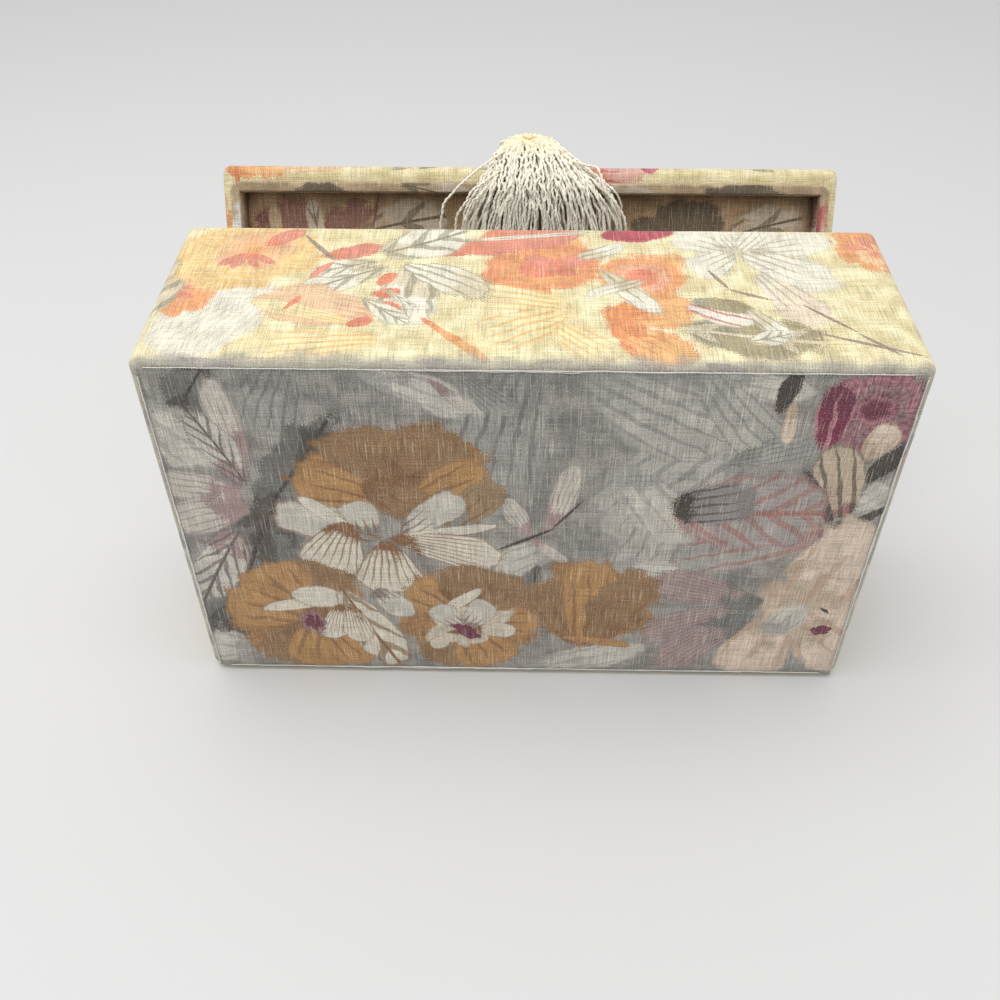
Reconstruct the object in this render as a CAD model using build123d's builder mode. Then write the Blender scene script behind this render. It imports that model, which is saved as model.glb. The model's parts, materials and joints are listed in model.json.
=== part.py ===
from build123d import *
import os
from math import asin, atan2, cos, hypot, radians, sin

os.makedirs("parts", exist_ok=True)

# The box is made in its own frame: x to the right, y from the front wall to the hinge wall,
# z from the base to the rim. It is then stood on its hinge side, as it is displayed.

# Case, outer sizes
width = 280.0
length = 171.0
case_depth = 92.0
corner_radius = 5.0
base_edge_radius = 4.0

# Sheet materials
board = 3.0
cloth = 0.7
base_cloth = 0.5
lining = 0.5
pad = 3.6

# Where the cloths end
base_cloth_inset = 3.5
base_turn_in = 12.0
case_rim_turn_in = 10.0
lid_rim_turn_in = 7.0
lining_reveal = 1.6
under_lid_turn_in = 16.0

# Lid. The pad swells by the crown, over one run from where the crown starts.
tray_depth = 12.0
lid_overhang = 6.8
lid_corner_radius = 4.2
lid_edge_radius = 3.5
eased_edge = 1.6
pad_crown = 1.4
crown_start = 5.0
crown_run = 45.0
closing_gap = 0.3

# Stance
open_angle = 25.0

# Tassel, whose cords are eight-sided
yarn_sides = 8
binding_turn = 22.5
cord_diameter = 1.6
cord_loop_width = 6.0
cord_rise = 11.0
seat_gap = 0.3
drape_gap = 1.0
head_rise = 17.0
head_lean = 4.0
neck_diameter = 5.6
binding_cord_diameter = 2.4
skirt_length = 78.0
skirt_thickness = 12.0
skirt_hem_thickness = 8.0
skirt_hem_width = 90.0

# Levels in the case's frame and in the lid's frame
strip_level = base_cloth
board_level = strip_level + cloth
case_floor_level = board_level + board
case_board_top = case_depth - cloth
slab_thickness = cloth + board + pad + cloth
lid_top = tray_depth + slab_thickness
wall_to_board_inside = cloth + board
wall_to_turn_inside = wall_to_board_inside + cloth
wall_to_lining_inside = wall_to_turn_inside + lining

# Both lower edges touch the ground: the case's base edge at the hinge wall and the lid's rear edge.
# The case tips towards its base until the two rounded edges are level.
opening = radians(open_angle)
pivot_y = length / 2
pivot_z = case_depth + closing_gap / 2
lid_edge_y = -lid_edge_radius
lid_edge_z = lid_top - lid_edge_radius + closing_gap / 2
edge_drop = lid_edge_y * cos(opening) + lid_edge_z * sin(opening) + base_edge_radius
edge_reach = pivot_z - lid_edge_y * sin(opening) + lid_edge_z * cos(opening)
edge_reach -= strip_level + base_edge_radius
edge_distance = hypot(edge_drop, edge_reach)
tip = atan2(edge_drop, edge_reach) - asin((base_edge_radius - lid_edge_radius) / edge_distance)
lean = opening - tip

# Rise of the pad's crown, in shares of its run and of its height
pad_crown_shares = ((0, 0), (0.2, 0.42), (0.55, 0.82), (1, 1))

# Place of the case and of the lid, with the origin on the ground at the middle of the whole stance
case_y_dir = Vector(0, sin(tip), -cos(tip))
case_z_dir = Vector(0, cos(tip), sin(tip))
lid_y_dir = Vector(0, -sin(lean), -cos(lean))
lid_z_dir = Vector(0, cos(lean), -sin(lean))
nearest = (base_cloth_inset - length / 2) * sin(tip)
pivot_reach = pivot_y * sin(tip) + pivot_z * cos(tip)
far_edge_y = length + lid_overhang - lid_edge_radius
farthest = pivot_reach + far_edge_y * sin(lean) + lid_edge_z * cos(lean) + lid_edge_radius
ground = (base_edge_radius - length / 2) * cos(tip) - base_edge_radius
ground += (strip_level + base_edge_radius) * sin(tip)
case_origin = Vector(0, -(nearest + farthest) / 2, -ground)
pivot = case_origin + case_y_dir * pivot_y + case_z_dir * pivot_z
lid_origin = pivot - lid_y_dir * (length / 2) + lid_z_dir * (closing_gap / 2)
case_plane = Plane(origin=case_origin, x_dir=(1, 0, 0), z_dir=case_z_dir)
lid_plane = Plane(origin=lid_origin, x_dir=(1, 0, 0), z_dir=lid_z_dir)


def inside_outline(plane, inset):
    """The rectangle inside the walls, inset from their outer faces."""
    with BuildSketch(plane) as outline:
        Rectangle(width - 2 * inset, length - 2 * inset)
    return outline.sketch


def ring_outline(plane, inset, thickness):
    """A square-cornered ring along the walls, inset from their outer faces."""
    with BuildSketch(plane) as outline:
        Rectangle(width - 2 * inset, length - 2 * inset)
        inner = inset + thickness
        Rectangle(width - 2 * inner, length - 2 * inner, mode=Mode.SUBTRACT)
    return outline.sketch


def rounded_outline(plane, inset):
    """The rounded outline of the box, inset from its outer faces."""
    with BuildSketch(plane) as outline:
        RectangleRounded(width - 2 * inset, length - 2 * inset, corner_radius - inset)
    return outline.sketch


def region_outline(plane, x_size, y_size, x_centre, y_centre):
    """A rectangle that parts one wall from its neighbours."""
    with BuildSketch(plane) as outline:
        with Locations((x_centre, y_centre)):
            Rectangle(x_size, y_size)
    return outline.sketch


def case_block(inset, top):
    """The case's whole block with its rounded corners and rounded base edge, inset all round."""
    start = strip_level + inset
    with BuildPart() as block:
        extrude(rounded_outline(case_plane.offset(start), inset), amount=top - start)
        base_edges = block.edges().group_by(Axis(case_plane.origin, case_plane.z_dir))[0]
        fillet(base_edges, base_edge_radius - inset)
    return block.part


def slab_outline(plane, inset):
    """The square-cornered outline of the lid's slab, inset from its edges."""
    with BuildSketch(plane) as outline:
        with Locations((0, -lid_overhang / 2)):
            Rectangle(width + 2 * (lid_overhang - inset), length + lid_overhang - 2 * inset)
    return outline.sketch


def slab_block(inset, soften, amount):
    """The lid's whole padded slab with its softened edges and its crown, inset all round."""
    bottom = lid_plane.offset(tray_depth + inset)
    crown_foot = slab_thickness - inset
    with BuildPart() as block:
        extrude(slab_outline(bottom, inset), amount=crown_foot - inset)
        fillet(block.edges().filter_by(Axis(lid_plane.origin, lid_plane.z_dir)), lid_corner_radius - inset)
        levels = block.edges().group_by(Axis(lid_plane.origin, lid_plane.z_dir))
        soften(levels[0] + levels[-1], amount)
    with BuildPart() as crown:
        for run_share, rise_share in pad_crown_shares:
            crown_plane = lid_plane.offset(tray_depth + crown_foot + pad_crown * rise_share)
            add(slab_outline(crown_plane, crown_start + crown_run * run_share))
        loft(ruled=True)
    return block.part + crown.part


# Wall boards: the front and hinge boards run the full width, the side boards fit between them
end_wall_y = length / 2 - wall_to_board_inside / 2
side_wall_x = width / 2 - wall_to_board_inside / 2
side_wall_length = length - 2 * wall_to_board_inside
wall_regions = {
    "front": (width, wall_to_board_inside, 0, -end_wall_y),
    "back": (width, wall_to_board_inside, 0, end_wall_y),
    "left": (wall_to_board_inside, side_wall_length, -side_wall_x, 0),
    "right": (wall_to_board_inside, side_wall_length, side_wall_x, 0),
}
case_inner_block = case_block(cloth, case_board_top)

for wall, region in wall_regions.items():
    with BuildPart() as case_wall_board:
        add(case_inner_block)
        extrude(inside_outline(case_plane, wall_to_board_inside), amount=case_depth, mode=Mode.SUBTRACT)
        extrude(region_outline(case_plane, *region), amount=case_depth, mode=Mode.INTERSECT)
    case_wall_board.part.label = f"case_{wall}_board"
    export_step(case_wall_board.part, f"parts/case_{wall}_board.step")

    with BuildPart() as lid_wall_board:
        extrude(rounded_outline(lid_plane.offset(cloth), cloth), amount=tray_depth - cloth)
        extrude(inside_outline(lid_plane, wall_to_board_inside), amount=tray_depth, mode=Mode.SUBTRACT)
        extrude(region_outline(lid_plane, *region), amount=tray_depth, mode=Mode.INTERSECT)
    lid_wall_board.part.label = f"lid_{wall}_board"
    export_step(lid_wall_board.part, f"parts/lid_{wall}_board.step")

# Base board, let in between the four walls
with BuildPart() as case_base_board:
    add(case_inner_block)
    base_outline = inside_outline(case_plane.offset(board_level), wall_to_board_inside)
    extrude(base_outline, amount=board, mode=Mode.INTERSECT)
case_base_board.part.label = "case_base_board"
export_step(case_base_board.part, "parts/case_base_board.step")

# Cloth on the case walls goes over the rim and down inside, and in under the base.
# The hinge wall has a cloth of its own, the hinge cloth, which carries on over the lid's rear wall.
case_outer_block = case_block(0, case_depth)
wrap_length = length - corner_radius
wrap_region = (width, wrap_length, 0, -corner_radius / 2)
hinge_region = (width, corner_radius, 0, wrap_length / 2)
case_cloths = {"case_wall_wrap": wrap_region, "hinge_case_leaf": hinge_region}
pressed_width = width - 2 * base_turn_in
pressed_length = length - base_turn_in - corner_radius
pressed_centre = (base_turn_in - corner_radius) / 2
pressed_region = (pressed_width, pressed_length, 0, pressed_centre)

for name, region in case_cloths.items():
    with BuildPart() as case_cloth:
        add(case_outer_block)
        add(case_inner_block, mode=Mode.SUBTRACT)
        extrude(region_outline(case_plane, *pressed_region), amount=board_level, mode=Mode.SUBTRACT)
        rim_window = inside_outline(case_plane.offset(case_board_top), wall_to_turn_inside)
        extrude(rim_window, amount=cloth, mode=Mode.SUBTRACT)
        turn_plane = case_plane.offset(case_board_top - case_rim_turn_in)
        extrude(ring_outline(turn_plane, wall_to_board_inside, cloth), amount=case_rim_turn_in)
        extrude(region_outline(case_plane, *region), amount=case_depth, mode=Mode.INTERSECT)
    case_cloth.part.label = name
    export_step(case_cloth.part, f"parts/{name}.step")

# Base cloth: a separate panel over the turned-in strips, pressed down to the board between them
with BuildPart() as case_base_cloth:
    extrude(inside_outline(case_plane, base_cloth_inset), amount=base_cloth)
    extrude(region_outline(case_plane.offset(strip_level), *pressed_region), amount=cloth)
case_base_cloth.part.label = "case_base_cloth"
export_step(case_base_cloth.part, "parts/case_base_cloth.step")

# Lining of the case: a strip round the walls, over the turned-in rim cloth, and a sheet on the floor
with BuildPart() as case_wall_lining:
    lower_height = case_board_top - case_rim_turn_in - case_floor_level
    lower = ring_outline(case_plane.offset(case_floor_level), wall_to_board_inside, cloth + lining)
    extrude(lower, amount=lower_height)
    upper_level = case_floor_level + lower_height
    upper = ring_outline(case_plane.offset(upper_level), wall_to_turn_inside, lining)
    extrude(upper, amount=case_depth - lining_reveal - upper_level)
case_wall_lining.part.label = "case_wall_lining"
export_step(case_wall_lining.part, "parts/case_wall_lining.step")

with BuildPart() as case_floor_lining:
    extrude(inside_outline(case_plane.offset(case_floor_level), wall_to_lining_inside), amount=lining)
case_floor_lining.part.label = "case_floor_lining"
export_step(case_floor_lining.part, "parts/case_floor_lining.step")

# Cloth on the lid's tray walls, over the rim and down inside, with the hinge cloth on the rear wall
lid_cloths = {"lid_wall_wrap": wrap_region, "hinge_lid_leaf": hinge_region}

for name, region in lid_cloths.items():
    with BuildPart() as lid_cloth:
        extrude(rounded_outline(lid_plane, 0), amount=tray_depth)
        extrude(rounded_outline(lid_plane.offset(cloth), cloth), amount=tray_depth, mode=Mode.SUBTRACT)
        extrude(inside_outline(lid_plane, wall_to_turn_inside), amount=cloth, mode=Mode.SUBTRACT)
        turned_in = ring_outline(lid_plane.offset(cloth), wall_to_board_inside, cloth)
        extrude(turned_in, amount=lid_rim_turn_in)
        extrude(region_outline(lid_plane, *region), amount=tray_depth, mode=Mode.INTERSECT)
    lid_cloth.part.label = name
    export_step(lid_cloth.part, f"parts/{name}.step")

# Lining of the lid: a strip round the tray walls and a sheet on the underside of the slab
with BuildPart() as lid_wall_lining:
    deep_level = cloth + lid_rim_turn_in
    shallow = ring_outline(lid_plane.offset(lining_reveal), wall_to_turn_inside, lining)
    extrude(shallow, amount=deep_level - lining_reveal)
    deep = ring_outline(lid_plane.offset(deep_level), wall_to_board_inside, cloth + lining)
    extrude(deep, amount=tray_depth - deep_level)
lid_wall_lining.part.label = "lid_wall_lining"
export_step(lid_wall_lining.part, "parts/lid_wall_lining.step")

with BuildPart() as lid_floor_lining:
    extrude(inside_outline(lid_plane.offset(tray_depth - lining), wall_to_lining_inside), amount=lining)
    extrude(inside_outline(lid_plane.offset(tray_depth), under_lid_turn_in), amount=cloth)
lid_floor_lining.part.label = "lid_floor_lining"
export_step(lid_floor_lining.part, "parts/lid_floor_lining.step")

# Padded slab of the lid: board and sponge sheet with eased edges, and the cloth rolled round them
# and turned in below
slab_outer_block = slab_block(0, fillet, lid_edge_radius)
slab_inner_block = slab_block(cloth, chamfer, eased_edge)
whole_slab = (2 * width, 2 * length, 0, 0)

with BuildPart() as lid_top_board:
    add(slab_inner_block)
    board_plane = lid_plane.offset(tray_depth + cloth)
    extrude(region_outline(board_plane, *whole_slab), amount=board, mode=Mode.INTERSECT)
lid_top_board.part.label = "lid_top_board"
export_step(lid_top_board.part, "parts/lid_top_board.step")

with BuildPart() as lid_pad:
    add(slab_inner_block)
    pad_level = tray_depth + cloth + board
    pad_plane = lid_plane.offset(pad_level)
    extrude(region_outline(pad_plane, *whole_slab), amount=pad + pad_crown, mode=Mode.INTERSECT)
lid_pad.part.label = "lid_pad"
export_step(lid_pad.part, "parts/lid_pad.step")

with BuildPart() as lid_top_cloth:
    add(slab_outer_block)
    add(slab_inner_block, mode=Mode.SUBTRACT)
    under_window = inside_outline(lid_plane.offset(tray_depth), under_lid_turn_in)
    extrude(under_window, amount=cloth, mode=Mode.SUBTRACT)
lid_top_cloth.part.label = "lid_top_cloth"
export_step(lid_top_cloth.part, "parts/lid_top_cloth.step")

# Tassel, sewn to the middle of the lid's front edge and hanging over the tray's front wall
edge_centre_y = -length / 2 - lid_overhang
edge_centre_z = tray_depth + slab_thickness / 2
stitch = lid_origin + lid_y_dir * edge_centre_y + lid_z_dir * edge_centre_z
loop_foot = stitch + Vector(0, 0, seat_gap)
loop_radius = cord_loop_width / 2 - cord_diameter / 2
loop_plane = Plane(origin=loop_foot, x_dir=(1, 0, 0), z_dir=(0, -1, 0))
loop_low = cord_diameter / 2 + loop_radius
loop_high = cord_rise - cord_diameter / 2 - loop_radius

with BuildPart() as tassel_cord:
    with BuildLine(loop_plane) as loop_path:
        right_leg = Line((loop_radius, loop_low), (loop_radius, loop_high))
        top_bend = JernArc(right_leg @ 1, (0, 1), loop_radius, 180)
        left_leg = Line(top_bend @ 1, (-loop_radius, loop_low))
        foot_bend = JernArc(left_leg @ 1, (0, -1), loop_radius, 180)
    with BuildSketch(Plane(origin=loop_path.line @ 0, z_dir=loop_path.line % 0)):
        RegularPolygon(cord_diameter / 2, yarn_sides)
    sweep(path=loop_path.line)
tassel_cord.part.label = "tassel_cord"
export_step(tassel_cord.part, "parts/tassel_cord.step")

# Skirt of yarns. Its side outline drapes over the tray's rim and lies down inside the tray.
# The crown's front outline widens from the neck to the hem by shares of its half width and length.
front_edge = Plane(origin=lid_origin - lid_y_dir * (length / 2), x_dir=lid_y_dir, z_dir=(1, 0, 0))
crown_rise = head_rise - binding_cord_diameter - seat_gap
crown_top_y = -lid_overhang - crown_rise * cos(lean)
crown_top_z = edge_centre_z - crown_rise * sin(lean)
crown_front_y = crown_top_y + 2 * head_lean * sin(lean)
crown_front_z = crown_top_z - 2 * head_lean * cos(lean)
tray_floor = tray_depth - lining - drape_gap
slope_meet = wall_to_lining_inside + (tray_floor + drape_gap) * cos(lean) / sin(lean)
shoulder_share = 0.4
head_shares = ((0.27, 0.03), (0.47, 0.08), (0.59, 0.13), (0.71, 0.18), (0.81, 0.3), (0.93, 0.45))

with BuildPart() as tassel_skirt:
    with BuildSketch(front_edge) as side_outline:
        with BuildLine():
            back_foot = (-lid_overhang - drape_gap, edge_centre_z)
            crown_back = (crown_top_y, crown_top_z)
            crown_front = (crown_front_y, crown_front_z)
            shoulder = (crown_front_y * shoulder_share, -skirt_thickness * (1 - shoulder_share / 2))
            over_rim = (wall_to_lining_inside, -skirt_thickness)
            hem_top = (skirt_length, tray_floor - skirt_hem_thickness)
            Polyline(back_foot, crown_back, crown_front)
            Spline(crown_front, shoulder, over_rim, hem_top)
            Polyline(
                hem_top,
                (skirt_length, tray_floor),
                (slope_meet, tray_floor),
                (wall_to_lining_inside + drape_gap, -drape_gap),
                (-drape_gap, -drape_gap),
                (-lid_overhang - drape_gap, tray_depth - drape_gap),
                back_foot,
            )
        make_face()
    extrude(amount=skirt_hem_width / 2, both=True)
    with BuildSketch(lid_plane.offset(-2 * skirt_thickness)) as front_outline:
        with BuildLine():
            top_y = crown_top_y - length / 2
            skirt_drop = skirt_length - crown_top_y
            half_hem = skirt_hem_width / 2
            hem_y = top_y + skirt_drop
            crown_points = [(half_hem * out, top_y + skirt_drop * down) for out, down in head_shares]
            Spline((0, top_y), *crown_points, (half_hem, hem_y))
            Polyline((half_hem, hem_y), (0, hem_y), (0, top_y))
        make_face()
        mirror(about=Plane.YZ)
    extrude(amount=2 * skirt_thickness + lid_top, mode=Mode.INTERSECT)
    with BuildSketch(Plane.XY.offset(loop_foot.Z - seat_gap)):
        with Locations((0, loop_foot.Y)):
            Rectangle(cord_loop_width + 2 * seat_gap, cord_diameter + 2 * seat_gap)
    extrude(amount=cord_rise + 2 * seat_gap, mode=Mode.SUBTRACT)
    with BuildSketch(Plane.XY.offset(stitch.Z + crown_rise)):
        with Locations((0, stitch.Y - head_lean)):
            Circle(neck_diameter / 2)
    extrude(amount=head_rise - crown_rise)
tassel_skirt.part.label = "tassel_skirt"
export_step(tassel_skirt.part, "parts/tassel_skirt.step")

# Yellow thread that binds the yarns at their neck, on top of the crown
ring_centre = Vector(0, stitch.Y - head_lean, stitch.Z + head_rise - binding_cord_diameter / 2)
with BuildPart() as tassel_binding:
    with BuildSketch(Plane(origin=ring_centre, x_dir=(1, 0, 0), z_dir=(0, -1, 0))):
        with Locations((neck_diameter / 2 + seat_gap + binding_cord_diameter / 2, 0)):
            RegularPolygon(binding_cord_diameter / 2, yarn_sides, major_radius=False, rotation=binding_turn)
    revolve(axis=Axis(ring_centre, (0, 0, 1)))
tassel_binding.part.label = "tassel_binding"
export_step(tassel_binding.part, "parts/tassel_binding.step")
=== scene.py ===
import json
from math import atan2, cos, floor, hypot, pi, radians, sin
import random

import bmesh
import bpy
from mathutils import Matrix, Vector, noise


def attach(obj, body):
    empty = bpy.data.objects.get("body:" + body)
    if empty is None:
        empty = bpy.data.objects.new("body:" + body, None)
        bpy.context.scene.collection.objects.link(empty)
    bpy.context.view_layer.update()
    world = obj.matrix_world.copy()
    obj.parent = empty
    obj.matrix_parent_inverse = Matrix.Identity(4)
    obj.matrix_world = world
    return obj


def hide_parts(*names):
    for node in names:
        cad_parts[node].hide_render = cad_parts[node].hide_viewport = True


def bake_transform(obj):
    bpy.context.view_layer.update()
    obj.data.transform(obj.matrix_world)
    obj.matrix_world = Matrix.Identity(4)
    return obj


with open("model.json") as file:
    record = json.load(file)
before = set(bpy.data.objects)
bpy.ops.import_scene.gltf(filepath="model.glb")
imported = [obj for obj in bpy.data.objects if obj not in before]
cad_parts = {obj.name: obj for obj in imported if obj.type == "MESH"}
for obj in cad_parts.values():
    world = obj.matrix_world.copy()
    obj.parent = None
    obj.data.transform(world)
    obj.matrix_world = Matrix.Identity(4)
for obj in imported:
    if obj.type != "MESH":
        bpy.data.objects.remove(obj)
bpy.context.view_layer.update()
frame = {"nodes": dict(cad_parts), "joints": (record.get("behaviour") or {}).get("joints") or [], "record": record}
nodes = frame["nodes"]

# Grey board: the walls, the base and the lid of the box are cut from 3 mm pressed board, glued at
# their edges. Cloth and lining hide all of it, and its grain shows only where a cloth is lifted.
board_grey = (0.33, 0.29, 0.23, 1)
board_fleck = (0.20, 0.17, 0.13, 1)


class Wire:
    """A value in a shader tree. Sums with it lay Math nodes, and an index picks another output."""

    def __init__(self, tree, outputs, place=0):
        self.tree, self.outputs, self.socket = tree, outputs, outputs[place]

    def __getitem__(self, place):
        return Wire(self.tree, self.outputs, place)

    def __add__(self, other):
        return calc("ADD", self, other)

    def __sub__(self, other):
        return calc("SUBTRACT", self, other)

    def __rsub__(self, other):
        return calc("SUBTRACT", other, self)

    def __mul__(self, other):
        return calc("MULTIPLY", self, other)

    def __truediv__(self, other):
        return calc("DIVIDE", self, other)


def put(tree, kind, *values, named=None, **settings):
    """Adds a shader node, sets it, and feeds its sockets in order or by name."""
    made = tree.nodes.new("ShaderNode" + kind)
    for key, value in settings.items():
        setattr(made, key, value)
    for place, value in [*enumerate(values), *(named or {}).items()]:
        if isinstance(value, Wire):
            tree.links.new(value.socket, made.inputs[place])
        elif value is not None:
            made.inputs[place].default_value = value
    return Wire(tree, made.outputs)


def calc(operation, *values, use_clamp=False):
    tree = next(value.tree for value in values if isinstance(value, Wire))
    return put(tree, "Math", *values, operation=operation, use_clamp=use_clamp)


def scaled(value, factor, added, use_clamp=False):
    """A value times a factor, with something added."""
    return calc("MULTIPLY_ADD", value, factor, added, use_clamp=use_clamp)


def ease(value, low, high):
    """Runs smoothly from 0 at low to 1 at high."""
    return put(value.tree, "MapRange", value, low, high, interpolation_type="SMOOTHSTEP")


def tinted(share, under, over):
    """Lays one colour over another by a share."""
    colours = (None,) * 5 + (under, over)
    return put(share.tree, "Mix", share, *colours, data_type="RGBA")[2]


def start_material(name, roughness, sheen=0.0):
    """A material with one plain Principled shader, ready for its colour and its grain."""
    material = bpy.data.materials.new(name)
    material.use_nodes = True
    tree = material.node_tree
    shader = tree.nodes["Principled BSDF"]
    shader.inputs["Roughness"].default_value = roughness
    shader.inputs["Sheen Weight"].default_value = sheen
    return material, tree, shader


def dress(tree, shader, colour, strength, depth, height):
    """Gives a shader its colour and its relief."""
    rise = put(tree, "Bump", strength, depth, named={"Height": height})
    tree.links.new(colour.socket, shader.inputs["Base Color"])
    tree.links.new(rise.socket, shader.inputs["Normal"])


def give(node_names, material):
    for name in node_names:
        nodes[name].data.materials.clear()
        nodes[name].data.materials.append(material)


grey_board, tree, shader = start_material("grey_board", 0.9)
spot = put(tree, "TexCoord")["Object"]
pulp = put(tree, "TexNoise", spot, named={"Scale": 900.0, "Detail": 5.0, "Roughness": 0.7})
clouds = put(tree, "TexNoise", spot, named={"Scale": 60.0, "Detail": 3.0})
flecks = tinted(ease(pulp, 0.42, 0.66), board_grey, board_fleck)
warm = tinted(clouds * 0.35, flecks, (0.42, 0.36, 0.27, 1))
dress(tree, shader, warm, 0.4, 0.0002, pulp)
walls = ("front", "back", "left", "right")
give([f"{part}_{wall}_board" for part in ("case", "lid") for wall in walls], grey_board)
give(["case_base_board", "lid_top_board"], grey_board)

# Case wrap: one strip of printed slub cloth goes round the front and side walls. It is pasted on,
# turned in 12 mm under the base, and taken over the rim and 10 mm down inside.
case_width, case_length, case_height = 280.0, 171.0, 92.0
corner_bend, base_bend, rim_bend = 5.0, 4.0, 0.7
cloth_thickness, strip_level, board_thickness = 0.7, 0.5, 3.0
rim_turn_in, shown_turn_in = 10.0, 5.0
corner_steps, wide_steps, deep_steps = 7, 90, 54
half_width, half_length = case_width / 2, case_length / 2
straight_x, straight_y = half_width - corner_bend, half_length - corner_bend
corner_arc = corner_bend * pi / 2
to_metres = Matrix.Scale(0.001, 4)
base_mount = next(m for m in frame["record"]["mounts"] if m["name"] == "base_face")
case_up = -Vector(base_mount["axis"]).normalized()
case_right = Vector((1, 0, 0))
case_back = case_up.cross(case_right)
case_turn = Matrix((case_right, case_back, case_up)).transposed().to_4x4()
case_place = Matrix.Translation(base_mount["pos_m"]) @ case_turn @ to_metres


def new_group(name, inputs, outputs):
    """An effect with named inputs and outputs, which several materials share."""
    group = bpy.data.node_groups.new(name, "ShaderNodeTree")
    kinds = {float: "NodeSocketFloat", tuple: "NodeSocketColor", Vector: "NodeSocketVector"}
    for label, value in inputs:
        socket = group.interface.new_socket(label, in_out="INPUT", socket_type=kinds[type(value)])
        socket.default_value = value
    for label, kind in outputs:
        group.interface.new_socket(label, in_out="OUTPUT", socket_type=kinds[kind])
    taken = Wire(group, group.nodes.new("NodeGroupInput").outputs)
    given = group.nodes.new("NodeGroupOutput").inputs
    return group, taken, given


plain = (1.0, 1.0, 1.0, 1.0)
barely = (0.000001, 0.000001, 0.000001)


def lay_after(group, taken, place):
    """The cloth turned to a motif's own place. The motif is worked out after the colour under it."""
    cloth = put(group, "VectorMath", taken["Under"], barely, taken["Cloth"], operation="MULTIPLY_ADD")
    turned = put(group, "VectorRotate", cloth, taken[place], rotation_type="Z_AXIS",
                 named={"Angle": taken["Turn"] * -1.0})
    placed = put(group, "VectorMath", turned, taken[place], operation="SUBTRACT")
    return put(group, "SeparateXYZ", placed)


laid_on = [("Under", plain), ("Cloth", Vector()), ("Wobble", 0.0), ("Speck", 0.5)]
petal, taken, given = new_group("petal", laid_on + [
    ("Foot", Vector()), ("Turn", 0.0), ("Length", 30.0), ("Breadth", 12.0), ("Pinch", 0.5), ("Bend", 0.0),
    ("Point", 2.0), ("Ruffle", 0.2), ("Root", plain), ("Body", plain), ("Vein", plain), ("Split", 0.3),
    ("Veins", 0.0), ("Reach", 0.8), ("Side veins", 0.0), ("Line", 0.4)], [("Colour", tuple)])
axes = lay_after(petal, taken, "Foot")
along = axes[0] / taken["Length"]
bowed = along * along * taken["Bend"]
off = axes[1] / taken["Breadth"] - bowed
narrow = taken["Pinch"] * (1.0 - along)
taper = calc("MAXIMUM", 1.0 - narrow, 0.06)
across = off / taper
reach_out = calc("ABSOLUTE", scaled(along, 2.0, -1.0))
rounding = calc("POWER", reach_out, taken["Point"])
outline = scaled(across, across, rounding)
ruffled = scaled(taken["Wobble"], taken["Ruffle"], outline)
grained = scaled(taken["Speck"] - 0.5, 0.9, ruffled)
inside = ease(grained, 1.12, 0.94)
tone_place = scaled(taken["Wobble"], 0.35, scaled(taken["Speck"], 0.3, along))
tone_share = ease(tone_place - taken["Split"], 0.07, 0.23)
tone = tinted(tone_share, taken["Root"], taken["Body"])
spread = calc("ABSOLUTE", across)
slanted = scaled(spread, -0.4, along)
order = put(petal, "Mix", taken["Side veins"], None, across, slanted)
far = put(petal, "Mix", taken["Side veins"], None, along, spread)
phase = scaled(taken["Wobble"], 1.6, order * taken["Veins"])
wave = calc("COSINE", phase)
fading = scaled(far / taken["Reach"], 0.85, 0.1)
vein_share = ease(wave - fading, 0.02, 0.22)
broken = scaled(ease(taken["Speck"], 0.38, 0.58), 0.55, 0.4)
drawn = vein_share * broken * calc("GREATER_THAN", taken["Veins"], 0.5)
rib = ease(spread, 0.09, 0.04) * taken["Side veins"]
veined = tinted(calc("MAXIMUM", drawn, rib), tone, taken["Vein"])
edge_share = ease(ruffled, 0.86, 0.95) * taken["Line"]
edged = tinted(edge_share, veined, taken["Vein"])
petal.links.new(tinted(inside, taken["Under"], edged).socket, given["Colour"])

bloom, taken, given = new_group("bloom", laid_on + [
    ("Middle", Vector()), ("Turn", 0.0), ("Radius", 30.0), ("Height", 20.0), ("Lobes", 7.0), ("Depth", 0.3),
    ("Heart", plain), ("Body", plain), ("Rim", plain), ("Vein", plain), ("Veins", 40.0)], [("Colour", tuple)])
axes = lay_after(bloom, taken, "Middle")
wide = axes[0] / taken["Radius"]
high = axes[1] / taken["Height"]
round_it = calc("ARCTAN2", high, wide)
from_middle = calc("SQRT", scaled(wide, wide, high * high))
half_turns = round_it * (taken["Lobes"] * 0.5)
colour = taken["Under"]
rings = ((1.0, 0.0, "Rim"), (0.84, 2.1, "Rim"), (0.68, 1.3, "Body"), (0.52, 0.4, "Body"),
         (0.36, 2.4, "Heart"))
for size, shift, tone_name in rings:
    lobe_phase = half_turns + scaled(taken["Wobble"], 2.2, shift)
    lobe = calc("SQRT", calc("ABSOLUTE", calc("COSINE", lobe_phase)))
    dip = taken["Depth"] * (lobe - 1.0)
    edge = (dip + 1.0) * size
    how_far = scaled(taken["Wobble"], 0.25, from_middle / edge)
    grained = scaled(taken["Speck"] - 0.5, 0.35, how_far)
    inside = ease(grained, 1.04, 0.96)
    rays = calc("COSINE", scaled(taken["Wobble"], 4.0, round_it * taken["Veins"]))
    ray_share = ease(scaled(how_far, -1.5, rays), -1.1, -0.5)
    inner_shade = scaled(how_far, -1.9, 1.9, use_clamp=True)
    mottled = scaled(ease(taken["Speck"], 0.5, 0.66), 0.16, inner_shade)
    mottled = scaled(ray_share, 0.28, mottled, use_clamp=True)
    rayed = tinted(mottled, taken[tone_name], taken["Vein"])
    line = ease(how_far, 0.9, 0.97) * 0.55
    colour = tinted(inside, colour, tinted(line, rayed, taken["Vein"]))
bloom.links.new(colour.socket, given["Colour"])

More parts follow.
